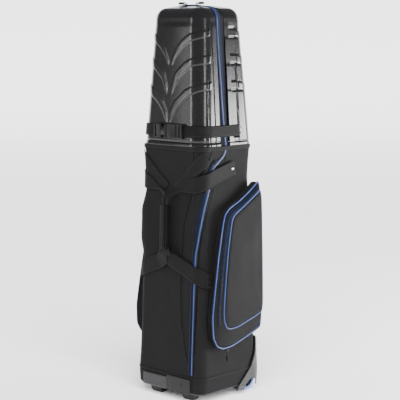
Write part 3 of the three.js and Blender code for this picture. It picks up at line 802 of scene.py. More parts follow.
def arm_relief(a, z):
    """The raised faces of the swept arms, at distance a from the middle line of a shell."""
    out = np.zeros_like(z)
    for upper, lower in ARMS:
        upper, lower = np.array(upper, float), np.array(lower, float)
        top, low = (np.interp(a, line[:, 0], line[:, 1]) for line in (upper, lower))
        steep = [np.interp(a, line[:, 0], np.gradient(line[:, 1], line[:, 0])) for line in (upper, lower)]
        wall_top = (top - z) / np.sqrt(1 + steep[0] ** 2)
        wall_low = (z - low) / np.sqrt(1 + steep[1] ** 2)
        ends = smooth(z, 906, 912) * smooth(a, upper[0, 0] - 3, upper[0, 0] + 5) * (
            1 - smooth(a, upper[-1, 0] - 3, upper[-1, 0])
        )
        face = smooth(wall_top, -0.5, 2.0) * smooth(wall_low, -0.5, 3.0)
        slope = 0.72 + 0.28 * smooth(wall_low, 2, 20)
        out = np.maximum(out, ARM_HEIGHT * face * ends * slope)
        crease = np.exp(-((wall_low / 2.0) ** 2)) + 0.9 * np.exp(-((wall_top / 1.6) ** 2))
        out = out - 0.55 * crease * ends
    return out


def groove(value, at, width, depth):
    return -depth * np.exp(-(((value - at) / width) ** 2))


def half_shell(edge, back):
    """The rows of a front or back shell, as seen from its own side, out to a rim at y = edge."""
    z = np.r_[
        RIM, np.arange(RIM + 2, CROWN_START, 2.6),
        CROWN_START + CROWN_RADIUS * np.sin(np.radians(np.arange(0, 90.1, 4.5)))
    ]
    w, d, r = top_half(z)
    cx, cy, arc = w - r, d - r, r * math.pi / 2
    parts = []
    reach = edge + cy
    for start, length, count in ((0 * cx, cx, 26), (cx, arc, 34), (cx + arc, reach, int(reach.max() / 2.4))):
        parts.append(start[:, None] + length[:, None] * np.linspace(0, 1, count, endpoint=False)[None])
    s = np.concatenate([*parts, (cx + arc + reach)[:, None]], 1)
    s = np.concatenate([-s[:, :0:-1], s], 1)
    height = np.repeat(z[:, None], s.shape[1], 1)
    bare, _ = on_form(top_half, s, height)
    low = CROWN_START - 6
    a, fade = np.abs(s), 1 - smooth(height, low - 20, low)
    y = bare[..., 1]
    out = arm_relief(a if back else np.abs(s - ARM_MIDDLE), height) * fade
    if back:
        tiers = sum(1.7 * (1 - smooth(height, mid - 8, mid + 2)) for mid in (1186, 1100, 1016))
        out += (tiers - 0.6) * fade * smooth(a, 60, 110)
    flank = a > (cx + 0.75 * arc)[:, None]
    rim = smooth(y, edge - 21.5, edge - 19.5)
    out += fade * flank * rim * 1.3
    out += fade * flank * groove(y, edge - 46, 1.6, 1.8) * (1 - smooth(height, 1085, 1110))
    out += groove(height, 850, 2.2, 2.2) + 1.6 * (1 - smooth(height, 844, 848))
    if back:
        channel = smooth(y, edge - 50, edge - 47.5) * (1 - smooth(y, edge - 21.5, edge - 19.5)) * flank
        bars = sum(
            smooth(height, m - 14, m - 11) * (1 - smooth(height, m + 11, m + 14))
            for m in (1200, 1117, 1031)
        )
        out -= 3.2 * channel * (1 - bars) * (1 - smooth(height, 1214, 1220)) * smooth(height, 862, 866)
    bow = 3.2 * np.cos(np.pi / 2 * np.clip(a / (cx + 0.5 * arc)[:, None], 0, 1)) ** 2 * fade
    points, _ = on_form(top_half, s, height, np.clip(out + bow, -6, 5))
    flat, rows = points[-1], [points]
    target = np.stack([flat[:, 0] * 0, 0 * flat[:, 1] + edge, 0 * flat[:, 2]], 1)
    length = np.r_[0, np.cumsum(np.linalg.norm(np.diff(flat[:, :2], axis=0), axis=1))]
    target[:, 0] = np.interp(length, [0, length[-1]], [flat[0, 0], flat[-1, 0]])
    for share in np.linspace(0.12, 1, 9):
        level = flat * (1 - share) + target * share
        near = np.clip(
            1 - np.maximum(np.abs(level[:, 0]) / np.abs(flat[0, 0]), np.abs(level[:, 1]) / 64), 0, 1
        )
        level[:, 2] = flat[:, 2] + CROWN_RISE * (1 - (1 - near) ** 2.2)
        rows.append(level[None])
    return np.concatenate(rows)


skin("front shell", half_shell(GUSSET[0], False), SHELL, 2.6, "front_top", ["front_shell"])
skin("rear shell", half_shell(-GUSSET[1], True) * [-1, -1, 1], SHELL, 2.6, "bag", ["rear_shell"])


def arch(low, out=0.0, step=5.0):
    """The line over the hard top in an upright plane, right rim to left rim, and its outward directions."""
    z = np.arange(low, CROWN_START, step)
    w = top_half(z)[0]
    right = [np.stack([w, 0 * z, z], 1)]
    bend = np.radians(np.arange(0, 90, 7.5))
    inner = TOP_HALF_WIDTH - TOP_TAPER * (CROWN_START - RIM) - CROWN_RADIUS
    right.append(
        np.stack(
            [inner + CROWN_RADIUS * np.cos(bend), 0 * bend, CROWN_START + CROWN_RADIUS * np.sin(bend)], 1
        )
    )
    x = np.linspace(inner, 0, 14)
    right.append(np.stack([x, 0 * x, CROWN_START + CROWN_RADIUS + CROWN_RISE * (1 - (x / inner) ** 2.2)], 1))
    half = np.concatenate(right)
    path = np.concatenate([half, half[-2::-1] * [-1, 1, 1]])
    run = np.gradient(path, axis=0)
    run /= np.linalg.norm(run, axis=1)[:, None]
    up = np.stack([run[:, 2], 0 * run[:, 1], -run[:, 0]], 1)
    return path + up * out, up


def over_top(name, y, out, width, thick, finish, stands_for=()):
    """A tape laid over the top at the given y, which may drift with height."""
    path, up = arch(RIM + 0.5, out)
    path[:, 1] = y(path[:, 2]) if callable(y) else y
    side = np.repeat([[0.0, 1, 0]], len(path), 0)
    section = soft_bar(width, thick) if thick else round_section(width / 2)
    return sweep(name, path, side, up, section, finish, "bag", stands_for)


def piping_y(z):
    """The sewn cord leans back a little on its way down the flanks."""
    return np.interp(z, [836, 856, 905, 985, 1120, 1190, 1300], [-13, -14, -19, -23, -28, -30.5, -31])


over_top(
    "gusset cloth", sum(GUSSET) / 2, -2.2, GUSSET[1] - GUSSET[0] - 0.8, 2.2, GUSSET_CLOTH, ["top_gusset"]
)
over_top("top zip tape", lambda z: piping_y(z) + 7.5, -0.2, 13, 0.9, ZIP_TAPE, ["top_zip_chain"])
over_top("top piping edge", piping_y, 0.1, 8.5, 1.4, BLUE_EDGE)
over_top("top piping", piping_y, 1.1, 2.8, 0, BLUE, ["top_piping"])
for name, line_y in (("near", lambda z: piping_y(z) + 15), ("far", lambda z: -2.5)):
    path, up = arch(RIM + 1, -0.9)
    path[:, 1] = line_y(path[:, 2])
    row(f"gusset stitching {name}", [path], STITCHES, 4.4, THREAD)
path, up = arch(RIM + 2, 0.55)
path[:, 1] = piping_y(path[:, 2]) + 6.5
row("top zip teeth", [path], TEETH, 2.3, BLACK_PLASTIC)


# ---- Zip sliders and pulls ----
def bevelled(name, node, finish, edge, body, segments=3, hold=False):
    """The frame's own piece, its faces joined up and its edges rounded."""
    shape = bmesh.new()
    shape.from_mesh(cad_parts[node].data)
    bmesh.ops.remove_doubles(shape, verts=shape.verts, dist=2e-6)
    bmesh.ops.dissolve_limit(shape, angle_limit=math.radians(2), verts=shape.verts, edges=shape.edges)
    mesh = bpy.data.meshes.new(name)
    shape.to_mesh(mesh)
    shape.free()
    obj = bpy.data.objects.new(name.replace(" ", "-"), mesh)
    bpy.context.scene.collection.objects.link(obj)
    obj.data.materials.append(finish)
    soften = obj.modifiers.new("edges", "BEVEL")
    soften.width, soften.segments = edge / 1000, segments
    soften.limit_method, soften.angle_limit = "ANGLE", math.radians(30)
    plain(obj)
    obj.data.polygons.foreach_set("use_smooth", [True] * len(obj.data.polygons))
    obj.data.set_sharp_from_angle(angle=math.radians(50))
    PLAN[obj.name] = (body, [node])
    return obj if hold else settle(obj)


for side, k, x in (("left", -1, -22), ("right", 1, 34)):
    top = 1291.2
    body = rounded_block(
        f"slider {side}", (x - 7, ZIP_Y - 4.5, top), (x + 7, ZIP_Y + 4.5, top + 3), 1.3, BLACK_PLASTIC,
        f"slider_{side}", hold=True
    )
    bridge = [
        (x - 4.5, top + 2), (x - 4, top + 5.6), (x - 1.5, top + 7.2), (x + 1.5, top + 7.2),
        (x + 4, top + 5.6), (x + 4.5, top + 2)
    ]
    line = curve_through([[a, ZIP_Y, b] for a, b in bridge], 20)
    up = np.cross(np.gradient(line, axis=0), [0, 1, 0])
    up /= np.linalg.norm(up, axis=1)[:, None]
    loop = sweep(
        "slider bridge", line, np.repeat([[0.0, 1, 0]], 20, 0), up, soft_bar(2.6, 1.3), BLACK_PLASTIC,
        f"slider_{side}", hold=True
    )
    joined(f"top slider {side}", [body, loop], [f"top_zip_slider_{side}"])
    pivot, level = x + 1.5 * k, top + 6.75
    eye = [
        [pivot + k * (3.2 + 3 * (1 - math.cos(t))), ZIP_Y + 2.9 * math.sin(t), level]
        for t in np.linspace(0, 2 * math.pi, 24)
    ]
    eye = np.array(eye)
    ring_up = np.repeat([[0.0, 0, 1]], len(eye), 0)
    wire = sweep(
        "pull eye", eye, frames(eye, ring_up), ring_up, round_section(1.05, 8), NICKEL, f"pull_{side}",
        hold=True
    )
    ends = sorted((pivot + k * 7.6, pivot + k * 25))
    tab = rounded_block(
        "pull tab", (ends[0], ZIP_Y - 5, level - 6.4), (ends[1], ZIP_Y + 5, level + 1.2), 2.2,
        BLACK_PLASTIC, f"pull_{side}", hold=True
    )
    joined(f"top pull {side}", [wire, tab], [f"top_zip_pull_{side}"])
    bevelled(
        f"pocket slider {side}", f"pocket_zip_slider_{side}", BLACK_PLASTIC, 1.2, f"pocket_slider_{side}"
    )
    low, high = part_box(f"pocket_zip_pull_{side}")
    low, high = np.array(low) * 1000 - [0, SHIFT, 0], np.array(high) * 1000 - [0, SHIFT, 0]
    middle = (low + high) / 2
    cord = np.array([[middle[0], middle[1], z] for z in np.linspace(high[2] - 0.2, low[2] + 14, 12)])
    flat = np.repeat([[1.0, 0, 0]], 12, 0)
    string = sweep(
        "pull string", cord, frames(cord, flat), flat, soft_bar(4.5, 1.6), WEBBING, f"pocket_pull_{side}",
        hold=True
    )
    end = rounded_block(
        "pull end", (middle[0] - 1.9, low[1], low[2]), (middle[0] + 1.9, high[1], low[2] + 16), 1.6,
        NEAR_BLACK_AND_PAINTED_SHADE, f"pocket_pull_{side}", hold=True
    )
    joined(f"pocket pull {side}", [string, end], [f"pocket_zip_pull_{side}"])


# ---- Compression strap and buckle ----
def strap_grid(start, end, lift, low=STRAP_Z - 19, high=STRAP_Z + 19):
    z = np.linspace(low, high, 9)
    s = np.linspace(start, end, 110)
    height, run = np.meshgrid(z, s, indexing="ij")
    roll = 0.5 * np.cos(np.pi * (height - STRAP_Z) / 38)
    return on_form(top_half, run, height, lift + roll)[0]


STRAP_END = float(flank_start(top_half, STRAP_Z)) + 50
skin("right strap", strap_grid(34, STRAP_END, 5.4), WEBBING, 1.9, "right_strap", ["strap_right"])
skin("left strap", strap_grid(-STRAP_END + 3.5, -61, 5.4), WEBBING, 1.9, "left_strap", ["strap_left"])
for name, start, end, body in (
    ("right", 98, STRAP_END - 12, "right_strap"), ("left", -STRAP_END + 12, -66, "left_strap")
):
    lines = [on_form(top_half, np.linspace(start, end, 120), STRAP_Z + dz, 5.9)[0] for dz in (-14.5, 14.5)]
    row(f"{name} strap stitching", lines, STITCHES, 4.6, THREAD, body)


def rivet(name, at, axis, radius=4.4, body="bag", finish=NICKEL, hold=True):
    dome = [(radius * math.cos(t), 1.9 * math.sin(t)) for t in np.linspace(math.pi / 2 - 0.001, 0.25, 7)]
    profile = [(0.001, 1.9), *dome[1:], (radius + 0.5, 0.4), (radius + 0.5, -1.0), (0.001, -1.0)]
    return turned(name, profile, at, axis, finish, body, segments=28, hold=hold)


for side, k in SIDES:
    z = np.linspace(STRAP_Z - 17, STRAP_Z + 17, 7)
    s = k * np.linspace(STRAP_END + 1, STRAP_END + 15, 5)
    height, run = np.meshgrid(z, np.sort(s), indexing="ij")
    plate = skin(f"strap plate {side}", on_form(top_half, run, height, 3.0)[0], WEBBING, 2, hold=True)
    heads = []
    for dz in (-9, 9):
        at, out = on_form(top_half, k * (STRAP_END + 8), STRAP_Z + dz, 3.2)
        heads.append(rivet("strap rivet", at, out, finish=BLACK_PLASTIC))
    joined(f"strap anchor {side}", [plate, *heads], [f"strap_anchor_{side}"])
    s = k * np.linspace(STRAP_END + 16, STRAP_END + 150, 46)
    height, run = np.meshgrid(z, np.sort(s), indexing="ij")
    tail = skin(f"strap tail {side}", on_form(top_half, run, height, 4.2)[0], WEBBING, 2, hold=True)
    at, out = on_form(top_half, k * (STRAP_END + 118), STRAP_Z, 4.4)
    joined(f"strap tail {side}", [tail, rivet("tail rivet", at, out)])

FACE = -128
socket = rounded_block(
    "socket", (-63, FACE - 13, STRAP_Z - 24), (-6, FACE, STRAP_Z + 24), 4.5, BLACK_PLASTIC, "left_strap",
    ["buckle_socket"], hold=True, segments=5
)
tools = [
    rounded_block(
        "mouth", (-34, FACE - 10.5, STRAP_Z - 17.5), (0, FACE - 1.5, STRAP_Z + 17.5), 1.5, BLACK_PLASTIC,
        hold=True
    ),
    rounded_block(
        "upper window", (-30, FACE - 20, STRAP_Z + 15), (-12, FACE - 3, STRAP_Z + 40), 2, BLACK_PLASTIC,
        hold=True
    ),
    rounded_block(
        "lower window", (-30, FACE - 20, STRAP_Z - 40), (-12, FACE - 3, STRAP_Z - 15), 2, BLACK_PLASTIC,
        hold=True
    ),
    rounded_block(
        "web slot", (-57, FACE - 16, STRAP_Z - 20), (-50, FACE - 5, STRAP_Z + 20), 1, BLACK_PLASTIC,
        hold=True
    ),
]
for tool in tools:
    PLAN.pop(tool.name)
cut_from(socket, tools)
lip_line = [[-7.5 - 5.0 * (1 - (t / 21) ** 2), FACE - 13.2, STRAP_Z + t] for t in np.linspace(-21, 21, 24)]
lip_up = np.repeat([[0.0, -1, 0]], 24, 0)
lip = sweep(
    "socket lip", lip_line, frames(lip_line, lip_up), lip_up, round_section(1.5), BLACK_PLASTIC,
    "left_strap", hold=True
)
joined("buckle socket", [socket, lip], ["buckle_socket"], "left_strap")

plug = rounded_block(
    "plug", (-5.2, FACE - 12, STRAP_Z - 24), (62, FACE - 2, STRAP_Z + 24), 3.6, BLACK_PLASTIC, "plug",
    ["buckle_plug"], hold=True, segments=5
)
tools = [
    rounded_block(
        "slot", (x, FACE - 16, STRAP_Z - 20), (x + 6.5, FACE + 3, STRAP_Z + 20), 1.2, BLACK_PLASTIC,
        hold=True
    )
    for x in (35.5, 49.5)
]
for tool in tools:
    PLAN.pop(tool.name)
cut_from(plug, tools)
prongs = [
    rounded_block(
        "prong", (-19.3, FACE - 7.2, STRAP_Z + dz - 5), (-4, FACE - 4.3, STRAP_Z + dz + 5), 1.3,
        BLACK_PLASTIC, "plug", hold=True
    )
    for dz in (-9, 9)
]
ribs = [
    rounded_block(
        "thumb rib", (x, FACE - 13, STRAP_Z - 17), (x + 2.2, FACE - 11, STRAP_Z + 17), 0.8, BLACK_PLASTIC,
        "plug", hold=True
    )
    for x in (6, 12, 18, 24)
]
joined("buckle plug", [plug, *prongs, *ribs], ["buckle_plug"], "plug")


# ---- Carry handle ----
LOOP = [
    [270, 763, 3.8], [248, 757, 3.8], [180, 737, 3.8], [95, 708, 4], [46, 692, 5], [16, 676, 14],
    [9.5, 655, 25],
    [9.5, 572, 25], [9.5, 490, 25], [16, 470, 14], [44, 452, 5], [72, 442, 4.2], [108, 428, 4.2],
    [150, 408, 3.8], [172, 398, 3.8],
]
PIVOTS = np.array([[143.0, 2, 758], [150.0, -107, 400]])


def loop_width(t):
    near = min(t, 1 - t)
    return 11 + (50 - 11) * (1 - smooth(near, 0.25, 0.36))


def bending(obj, k):
    """Hides the frame's nodes that the webbing stands for and bakes its place into the mesh; the points where
    it leaves its sewn ends are worked out, but nothing uses them.
    """
    nodes = PLAN.pop(obj.name)[1]
    if nodes:
        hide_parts(*nodes)
    axis = (PIVOTS[0] - PIVOTS[1]) / np.linalg.norm(PIVOTS[0] - PIVOTS[1])
    back = np.cross(axis, [1, 0, 0])
    back /= np.linalg.norm(back)
    start, end = ((PIVOTS[0] + back * d) * [k, 1, 1] for d in (4, -5))
    metres(start)
    metres(end)
    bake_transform(obj)
    return obj


for side, k in SIDES:
    route = LOOP if k > 0 else mirror_route(LOOP)
    nodes = [f"handle_loop_{side}", f"handle_anchor_upper_{side}", f"handle_anchor_lower_{side}"]
    bending(
        strip(
            f"handle webbing {side}", route, 230, loop_width, 2.4, WEBBING, "bag", nodes, puff=0.5,
            hold=True
        ),
        k
    )
    bending(
        edge_stitches(
            f"handle stitching {side}", route, 230, loop_width, 2.7, hold=True, inset=2.6, spacing=4.6
        ),
        k
    )
    for level, s, z in (("upper", 262, 760.5), ("lower", 164, 401.5)):
        at, out = on_form(body_half, k * s, z, 6.6)
        rivet(
            f"{level} rivet {side}", at, out, 4.6, finish=NICKEL if level == "upper" else BLACK_PLASTIC,
            hold=False
        )
        heading = 0.25 if level == "upper" else -0.45
        box = []
        for ring_size in (11, 8):
            corners = [(-1, -1), (1, -1), (1, 1), (-1, 1), (-1, -1)]
            loop = [
                (s + ring_size * a, z + (ring_size + 8) * b + ring_size * a * heading) for a, b in corners
            ]
            dense = np.concatenate([np.linspace(loop[i], loop[i + 1], 12) for i in range(4)])
            box.append(on_form(body_half, k * dense[:, 0], dense[:, 1], 6.7)[0])
        row(f"{level} box stitching {side}", box, STITCHES, 4.2, THREAD)


def grip_half(side, k):
    """Half of the padded grip: a soft half-round sleeve round the narrowed webbing. The right half takes the
    near-black finish, painted shade for the dark gap beside the grip.
    """
    z = np.linspace(645, 500, 60)
    line, out = on_form(body_half, 0 * z + 9.4 * k, z, 25.2)
    end = np.minimum(np.abs(z - 500), np.abs(645 - z))
    full = 0.82 + 0.18 * np.sqrt(np.clip(end / 7, 0, 1)) + 0.012 * np.sin(z / 3.1)
    across = frames(line, out)
    section = np.array(soft_bar(17, 18.6, 6.2, 7))
    rings = line[:, None] + full[:, None, None] * (
        section[None, :, :1] * across[:, None] + section[None, :, 1:] * out[:, None]
    )
    rings = rings + 0.5 * ripple(rings, 16, 4.4 * k)[..., None] * out[:, None]
    count, ring = rings.shape[:2]
    polygons = [list(f) for f in quads(count, ring, wrap=True)] + [
        list(range(ring))[::-1], list(range((count - 1) * ring, count * ring))
    ]
    uv = np.stack(np.broadcast_arrays(np.linspace(0, 62, ring)[None], z[:, None]), -1).reshape(-1, 2)
    obj = piece(
        f"grip {side}", rings.reshape(-1, 3), polygons, GRIP_CLOTH if k < 0 else NEAR_BLACK_AND_PAINTED_SHADE,
        f"handle_{side}", [f"grip_pad_{side}"], uv
    )
    settle(outward(obj))
    lines = [line + out * 9.6 + across * 5.2, line + out * 9.6 - across * 5.2]
    row(f"grip stitching {side}", [part[3:-3] for part in lines], STITCHES, 4.4, THREAD, f"handle_{side}")


for side, k in SIDES:
    grip_half(side, k)


# ---- Side pockets ----
RIM_LINE = [
    (118, 712), (69, 679), (24, 654), (-24, 634), (-44, 616), (-54, 590), (-76, 490), (-101, 350),
    (-111, 285), (-108, 222),
    (-90, 192), (-62, 180), (-15, 184), (84, 213), (118, 226), (124, 260), (124, 680),
]
MOUTH_LINE = [
    (112, 684), (65, 656), (22, 632), (-12, 614), (-24, 600), (-30, 580), (-48, 485), (-66, 350),
    (-70, 300), (-68, 272),
    (-58, 252), (-40, 245), (-5, 247), (75, 268), (112, 280), (118, 310), (118, 655),
]
POCKET_BACK = 124


def closed_line(points, count):
    """A smooth closed outline with its straight runs kept, evenly stepped."""
    p = np.array([*points, points[0]], float)
    dense = np.concatenate([np.linspace(p[i], p[i + 1], 24, endpoint=False) for i in range(len(p) - 1)])
    reach = 7
    kernel = np.hanning(2 * reach + 3)[1:-1]
    kernel /= kernel.sum()
    padded = np.concatenate([dense[-reach:], dense, dense[:reach]])
    soft = np.stack([np.convolve(padded[:, k], kernel, "valid") for k in (0, 1)], 1)
    soft = np.vstack([soft, soft[:1]])
    length = np.r_[0, np.cumsum(np.linalg.norm(np.diff(soft, axis=0), axis=1))]
    at = np.linspace(0, length[-1], count, endpoint=False)
    return np.stack([np.interp(at, length, soft[:, k]) for k in (0, 1)], 1)


def matched(rim, mouth):
    """The mouth outline, stepped round to start at its point nearest the rim's first point."""
    return np.roll(mouth, -int(np.argmin(np.hypot(*(mouth - rim[0]).T))), 0)


def side_x(z):
    return 150 - 0.0225 * (z - 170)


def side_skin_x(y, z):
    """Where the side panel's cloth is, round its front corner too."""
    w, d, r = body_half(z)
    over = np.clip(-(d - r) - y, 0, r - 0.5)
    return w - r + np.sqrt(np.maximum(r**2 - over**2, 0))


def pocket_rings(rim, mouth):
    """The pocket's side wall, from its seam on the cloth out to the rim, then in to the mouth."""
    base = rim.copy()
    base[:, 0] = POCKET_BACK + (rim[:, 0] - POCKET_BACK) * 0.92
    rows = []
    for t in np.linspace(0, 1, 9):
        line = base * (1 - t) + rim * t
        puff = 2.2 * math.sin(math.pi * t)
        middle = rim.mean(0)
        away = line - middle
        away /= np.linalg.norm(away, axis=1)[:, None]
        line = line + away * puff
        floor = side_skin_x(line[:, 0], line[:, 1]) + 0.8
        lift = floor * (1 - t) + (side_x(line[:, 1]) + 28) * t
        rows.append(np.stack([lift, line[:, 0], line[:, 1]], 1))
    for t in np.linspace(0.1, 1, 9):
        line = rim * (1 - t) + mouth * t
        rise = 28 + 13 * t + 1.8 * math.sin(math.pi * t)
        rows.append(np.stack([side_x(line[:, 1]) + rise, line[:, 0], line[:, 1]], 1))
    return np.array(rows)


RIM_CURVE = closed_line(RIM_LINE, 300)
MOUTH_CURVE = matched(RIM_CURVE, closed_line(MOUTH_LINE, 300))


def on_side(points, k):
    return np.asarray(points, float) * [k, 1, 1]


def pocket(side, k):
    rings = pocket_rings(RIM_CURVE, MOUTH_CURVE)
    rows, columns = rings.shape[:2]
    crease = ripple(rings * [1, 1, 1], 46, 2.2 * k) * 1.5 + ripple(rings, 17, 6.1) * 0.4
    held = np.sin(np.pi * np.linspace(0, 1, rows)) ** 0.6
    rings = rings + (crease * held[:, None])[..., None] * [0.8, 0.3, 0.3]
    rings = np.concatenate([rings, rings[:, :1]], 1)
    rings = on_side(rings, k)
    if k > 0:
        rings = rings[:, ::-1]
    obj = piece(
        f"pocket wall {side}", rings.reshape(-1, 3), quads(rows, columns + 1), BODY_CLOTH, "bag",
        [f"pocket_shell_{side}"], grid_uv(rings)
    )
    shape = bmesh.new()
    shape.from_mesh(obj.data)
    bmesh.ops.remove_doubles(shape, verts=shape.verts, dist=1e-5)
    bmesh.ops.recalc_face_normals(shape, faces=shape.faces)
    middle = metres(np.array([side_x(440) * k, 20.0, 440.0]))
    if sum((f.calc_center_median() - Vector(middle)).dot(f.normal) for f in shape.faces) < 0:
        bmesh.ops.reverse_faces(shape, faces=shape.faces)
    shape.to_mesh(obj.data)
    shape.free()
    wall = obj.modifiers.new("wall", "SOLIDIFY")
    wall.thickness, wall.offset = 0.003, -1
    settle(plain(obj))
    out = np.repeat([[1.0 * k, 0, 0]], len(RIM_CURVE), 0)
    for name, curve, lift, radius in (("outer", RIM_CURVE, 29.5, 1.7), ("inner", MOUTH_CURVE, 42.6, 1.5)):
        middle = curve.mean(0)
        away = (curve - middle) / np.linalg.norm(curve - middle, axis=1)[:, None]
        line = curve + away * (1.2 if name == "outer" else 1.6)
        path = on_side(np.stack([side_x(line[:, 1]) + lift, line[:, 0], line[:, 1]], 1), k)
        across = frames(np.concatenate([path, path[:2]]), np.repeat(out[:1], len(path) + 2, 0))[: len(path)]
        sweep(f"{name} pocket piping {side}", path, across, out, round_section(radius), BLUE, closed=True)
        sweep(
            f"{name} piping edge {side}", path - out * 1.7, across, out, soft_bar(7.0, 1.8), BLUE_EDGE,
            closed=True
        )
    line = (RIM_CURVE + MOUTH_CURVE) / 2
    keep = np.flatnonzero((line[:, 1] > 262) & (line[:, 0] < 108))
    breaks = np.flatnonzero(np.diff(keep) > 1)
    if len(breaks):
        keep = np.r_[keep[breaks[0] + 1 :], keep[: breaks[0] + 1]]
    line = line[keep]
    path = on_side(np.stack([side_x(line[:, 1]) + 37.6, line[:, 0], line[:, 1]], 1), k)
    tilt = (MOUTH_CURVE - RIM_CURVE)[keep]
    across = on_side(np.stack([0 * line[:, 0] + 13, tilt[:, 0], tilt[:, 1]], 1), k)
    across /= np.linalg.norm(across, axis=1)[:, None]
    up = np.cross(np.gradient(path, axis=0), across)
    up /= np.linalg.norm(up, axis=1)[:, None]
    up *= np.sign(up[:, :1] * k)
    sweep(f"pocket zip tape {side}", path, across, up, soft_bar(15, 1.0), ZIP_TAPE)
    row(f"pocket zip teeth {side}", [path + up * 0.9], TEETH, 2.3, BLACK_PLASTIC)


def pocket_lid(side, k):
    """The padded lid: a crowned cloth panel over the mouth, with its edge turned in."""
    centre = MOUTH_CURVE.mean(0)
    shares = np.r_[1.0, 0.995, 0.98, 0.95, np.linspace(0.9, 0.06, 22)]
    rows = []
    for share in shares:
        line = centre + (MOUTH_CURVE - centre) * share
        edge = 1 - share
        lift = 41.8 + 5.2 * smooth(edge, -0.01, 0.06) + 3.0 * smooth(edge, 0.04, 0.7)
        points = np.stack([side_x(line[:, 1]) + lift, line[:, 0], line[:, 1]], 1)
        soft = smooth(edge, 0.02, 0.2)
        points[:, 0] += soft * (
            1.3 * ripple(points * [1, 1, 0.7], 75, 8.8 + k) + 0.35 * ripple(points, 24, 3.3)
        )
        rows.append(points)
    top = np.array(rows)
    under = np.array([[*(side_x(z) + 41.5, y, z)] for y, z in MOUTH_CURVE * 0.999 + centre * 0.001])
    rings = on_side(np.concatenate([under[None], top]), k)
    count = len(MOUTH_CURVE)
    points = rings.reshape(-1, 3)
    polygons = [list(f) for f in quads(len(rings), count, wrap=True)]
    last = (len(rings) - 1) * count
    polygons += [list(range(last, last + count)), list(range(count))[::-1]]
    uv = np.stack([points[:, 1], points[:, 2]], 1)
    obj = piece(f"pocket lid {side}", points, polygons, LID_CLOTH, f"lid_{side}", [f"pocket_lid_{side}"], uv)
    settle(outward(obj))
    line = centre + (MOUTH_CURVE - centre) * 0.955
    stitch = np.stack([side_x(line[:, 1]) + 46.6, line[:, 0], line[:, 1]], 1)
    row(f"lid stitching {side}", [on_side(stitch, k)], STITCHES, 4.4, THREAD, f"lid_{side}")


def pocket_back(side, k):
    """The cloth that closes the pocket against the bag's side."""
    centre = RIM_CURVE.mean(0)
    line = centre + (RIM_CURVE - centre) * 0.985
    levels = [np.stack([side_x(line[:, 1]) + lift, line[:, 0], line[:, 1]], 1) for lift in (4.2, 5.7)]
    rings = on_side(np.array(levels), k)
    count = len(line)
    points = rings.reshape(-1, 3)
    polygons = [list(f) for f in quads(2, count, wrap=True)]
    polygons += [list(range(count, 2 * count)), list(range(count))[::-1]]
    obj = piece(f"pocket back {side}", points, polygons, BODY_CLOTH, "bag", (), points[:, 1:])
    settle(outward(obj))


for side, k in SIDES:
    pocket(side, k)
    pocket_back(side, k)
    pocket_lid(side, k)


# ---- Base, feet and running gear ----
FRONT = -144
# The ribbed left half is light grey, partly painted light for the reflection it catches; the right half is
# the black moulding.
plate = rounded_block(
    "plate", (-111, FRONT - 3.4, 28), (0, FRONT - 0.4, 69), 1.2, KICK_PLATE_GREY_AND_LIT, "bag", hold=True
)
ribs = [
    rounded_block(
        "plate rib", (-107, FRONT - 5.0, z), (-4, FRONT - 2.8, z + 3.2), 1.0, KICK_PLATE_GREY_AND_LIT, "bag",
        hold=True
    )
    for z in np.arange(31.5, 64, 5.2)
]
joined("kick plate", [plate, *ribs], ["kick_plate"])
pad = rounded_block("pad", (1, FRONT - 3.4, 28), (108, FRONT - 0.4, 78), 1.4, BLACK_PLASTIC, "bag", hold=True)
stud = rivet("stud", (66, FRONT - 3.6, 53), (0, -1, 0), 4.6, finish=BLACK_PLASTIC)
joined("kick pad", [pad, stud], ["kick_pad"])
for side, k in SIDES:
    bevelled(f"foot {side}", f"foot_{side}", BLACK_PLASTIC, 2.5, "bag")
bevelled("base tray", "base_tray", BLACK_PLASTIC, 1.0, "bag")

WHEEL = (120, 106, 36)
for side, k in SIDES:
    hub_at = (k * WHEEL[0], WHEEL[1], WHEEL[2])
    tread = [(27, -12), (31, -12)]
    tread += [(31 + 5 * math.sin(t), -7 - 5 * math.cos(t)) for t in np.linspace(0.3, math.pi / 2, 6)]
    tread += [(36, -2), (35.4, 0), (36, 2)]
    tread += [(31 + 5 * math.cos(t), 7 + 5 * math.sin(t)) for t in np.linspace(0, math.pi / 2 - 0.3, 6)]
    tread += [(31, 12), (27, 12)]
    turned(
        f"wheel tyre {side}", tread, hub_at, (1, 0, 0), BLUE_TYRE, f"wheel_{side}", [f"wheel_tyre_{side}"],
        72
    )
    core = turned(
        "hub core", [(11.3, -11), (15, -11), (15.5, -9), (15.5, 9), (15, 11), (11.3, 11)], hub_at,
        (1, 0, 0), BLACK_PLASTIC, f"wheel_{side}", hold=True
    )
    rim = turned(
        "hub rim", [(23, -10), (26.7, -11), (26.7, 11), (23, 10)], hub_at, (1, 0, 0), BLACK_PLASTIC,
        f"wheel_{side}", hold=True
    )
    web = turned(
        "hub web", [(15, -2), (24, -2), (24, 2), (15, 2)], hub_at, (1, 0, 0), BLACK_PLASTIC,
        f"wheel_{side}", hold=True
    )
    spokes = []
    for turn in np.linspace(0, 2 * math.pi, 6, endpoint=False):
        direction = np.array([0, math.cos(turn), math.sin(turn)])
        path = np.array(hub_at) + direction * np.linspace(14.5, 24.5, 6)[:, None]
        along = np.repeat([[1.0, 0, 0]], 6, 0)
        spokes.append(
            sweep(
                "hub spoke", path, along, np.cross(along, direction), soft_bar(18, 4, 1.2), BLACK_PLASTIC,
                f"wheel_{side}", hold=True
            )
        )
    joined(f"wheel hub {side}", [core, rim, web, *spokes], [f"wheel_hub_{side}"])


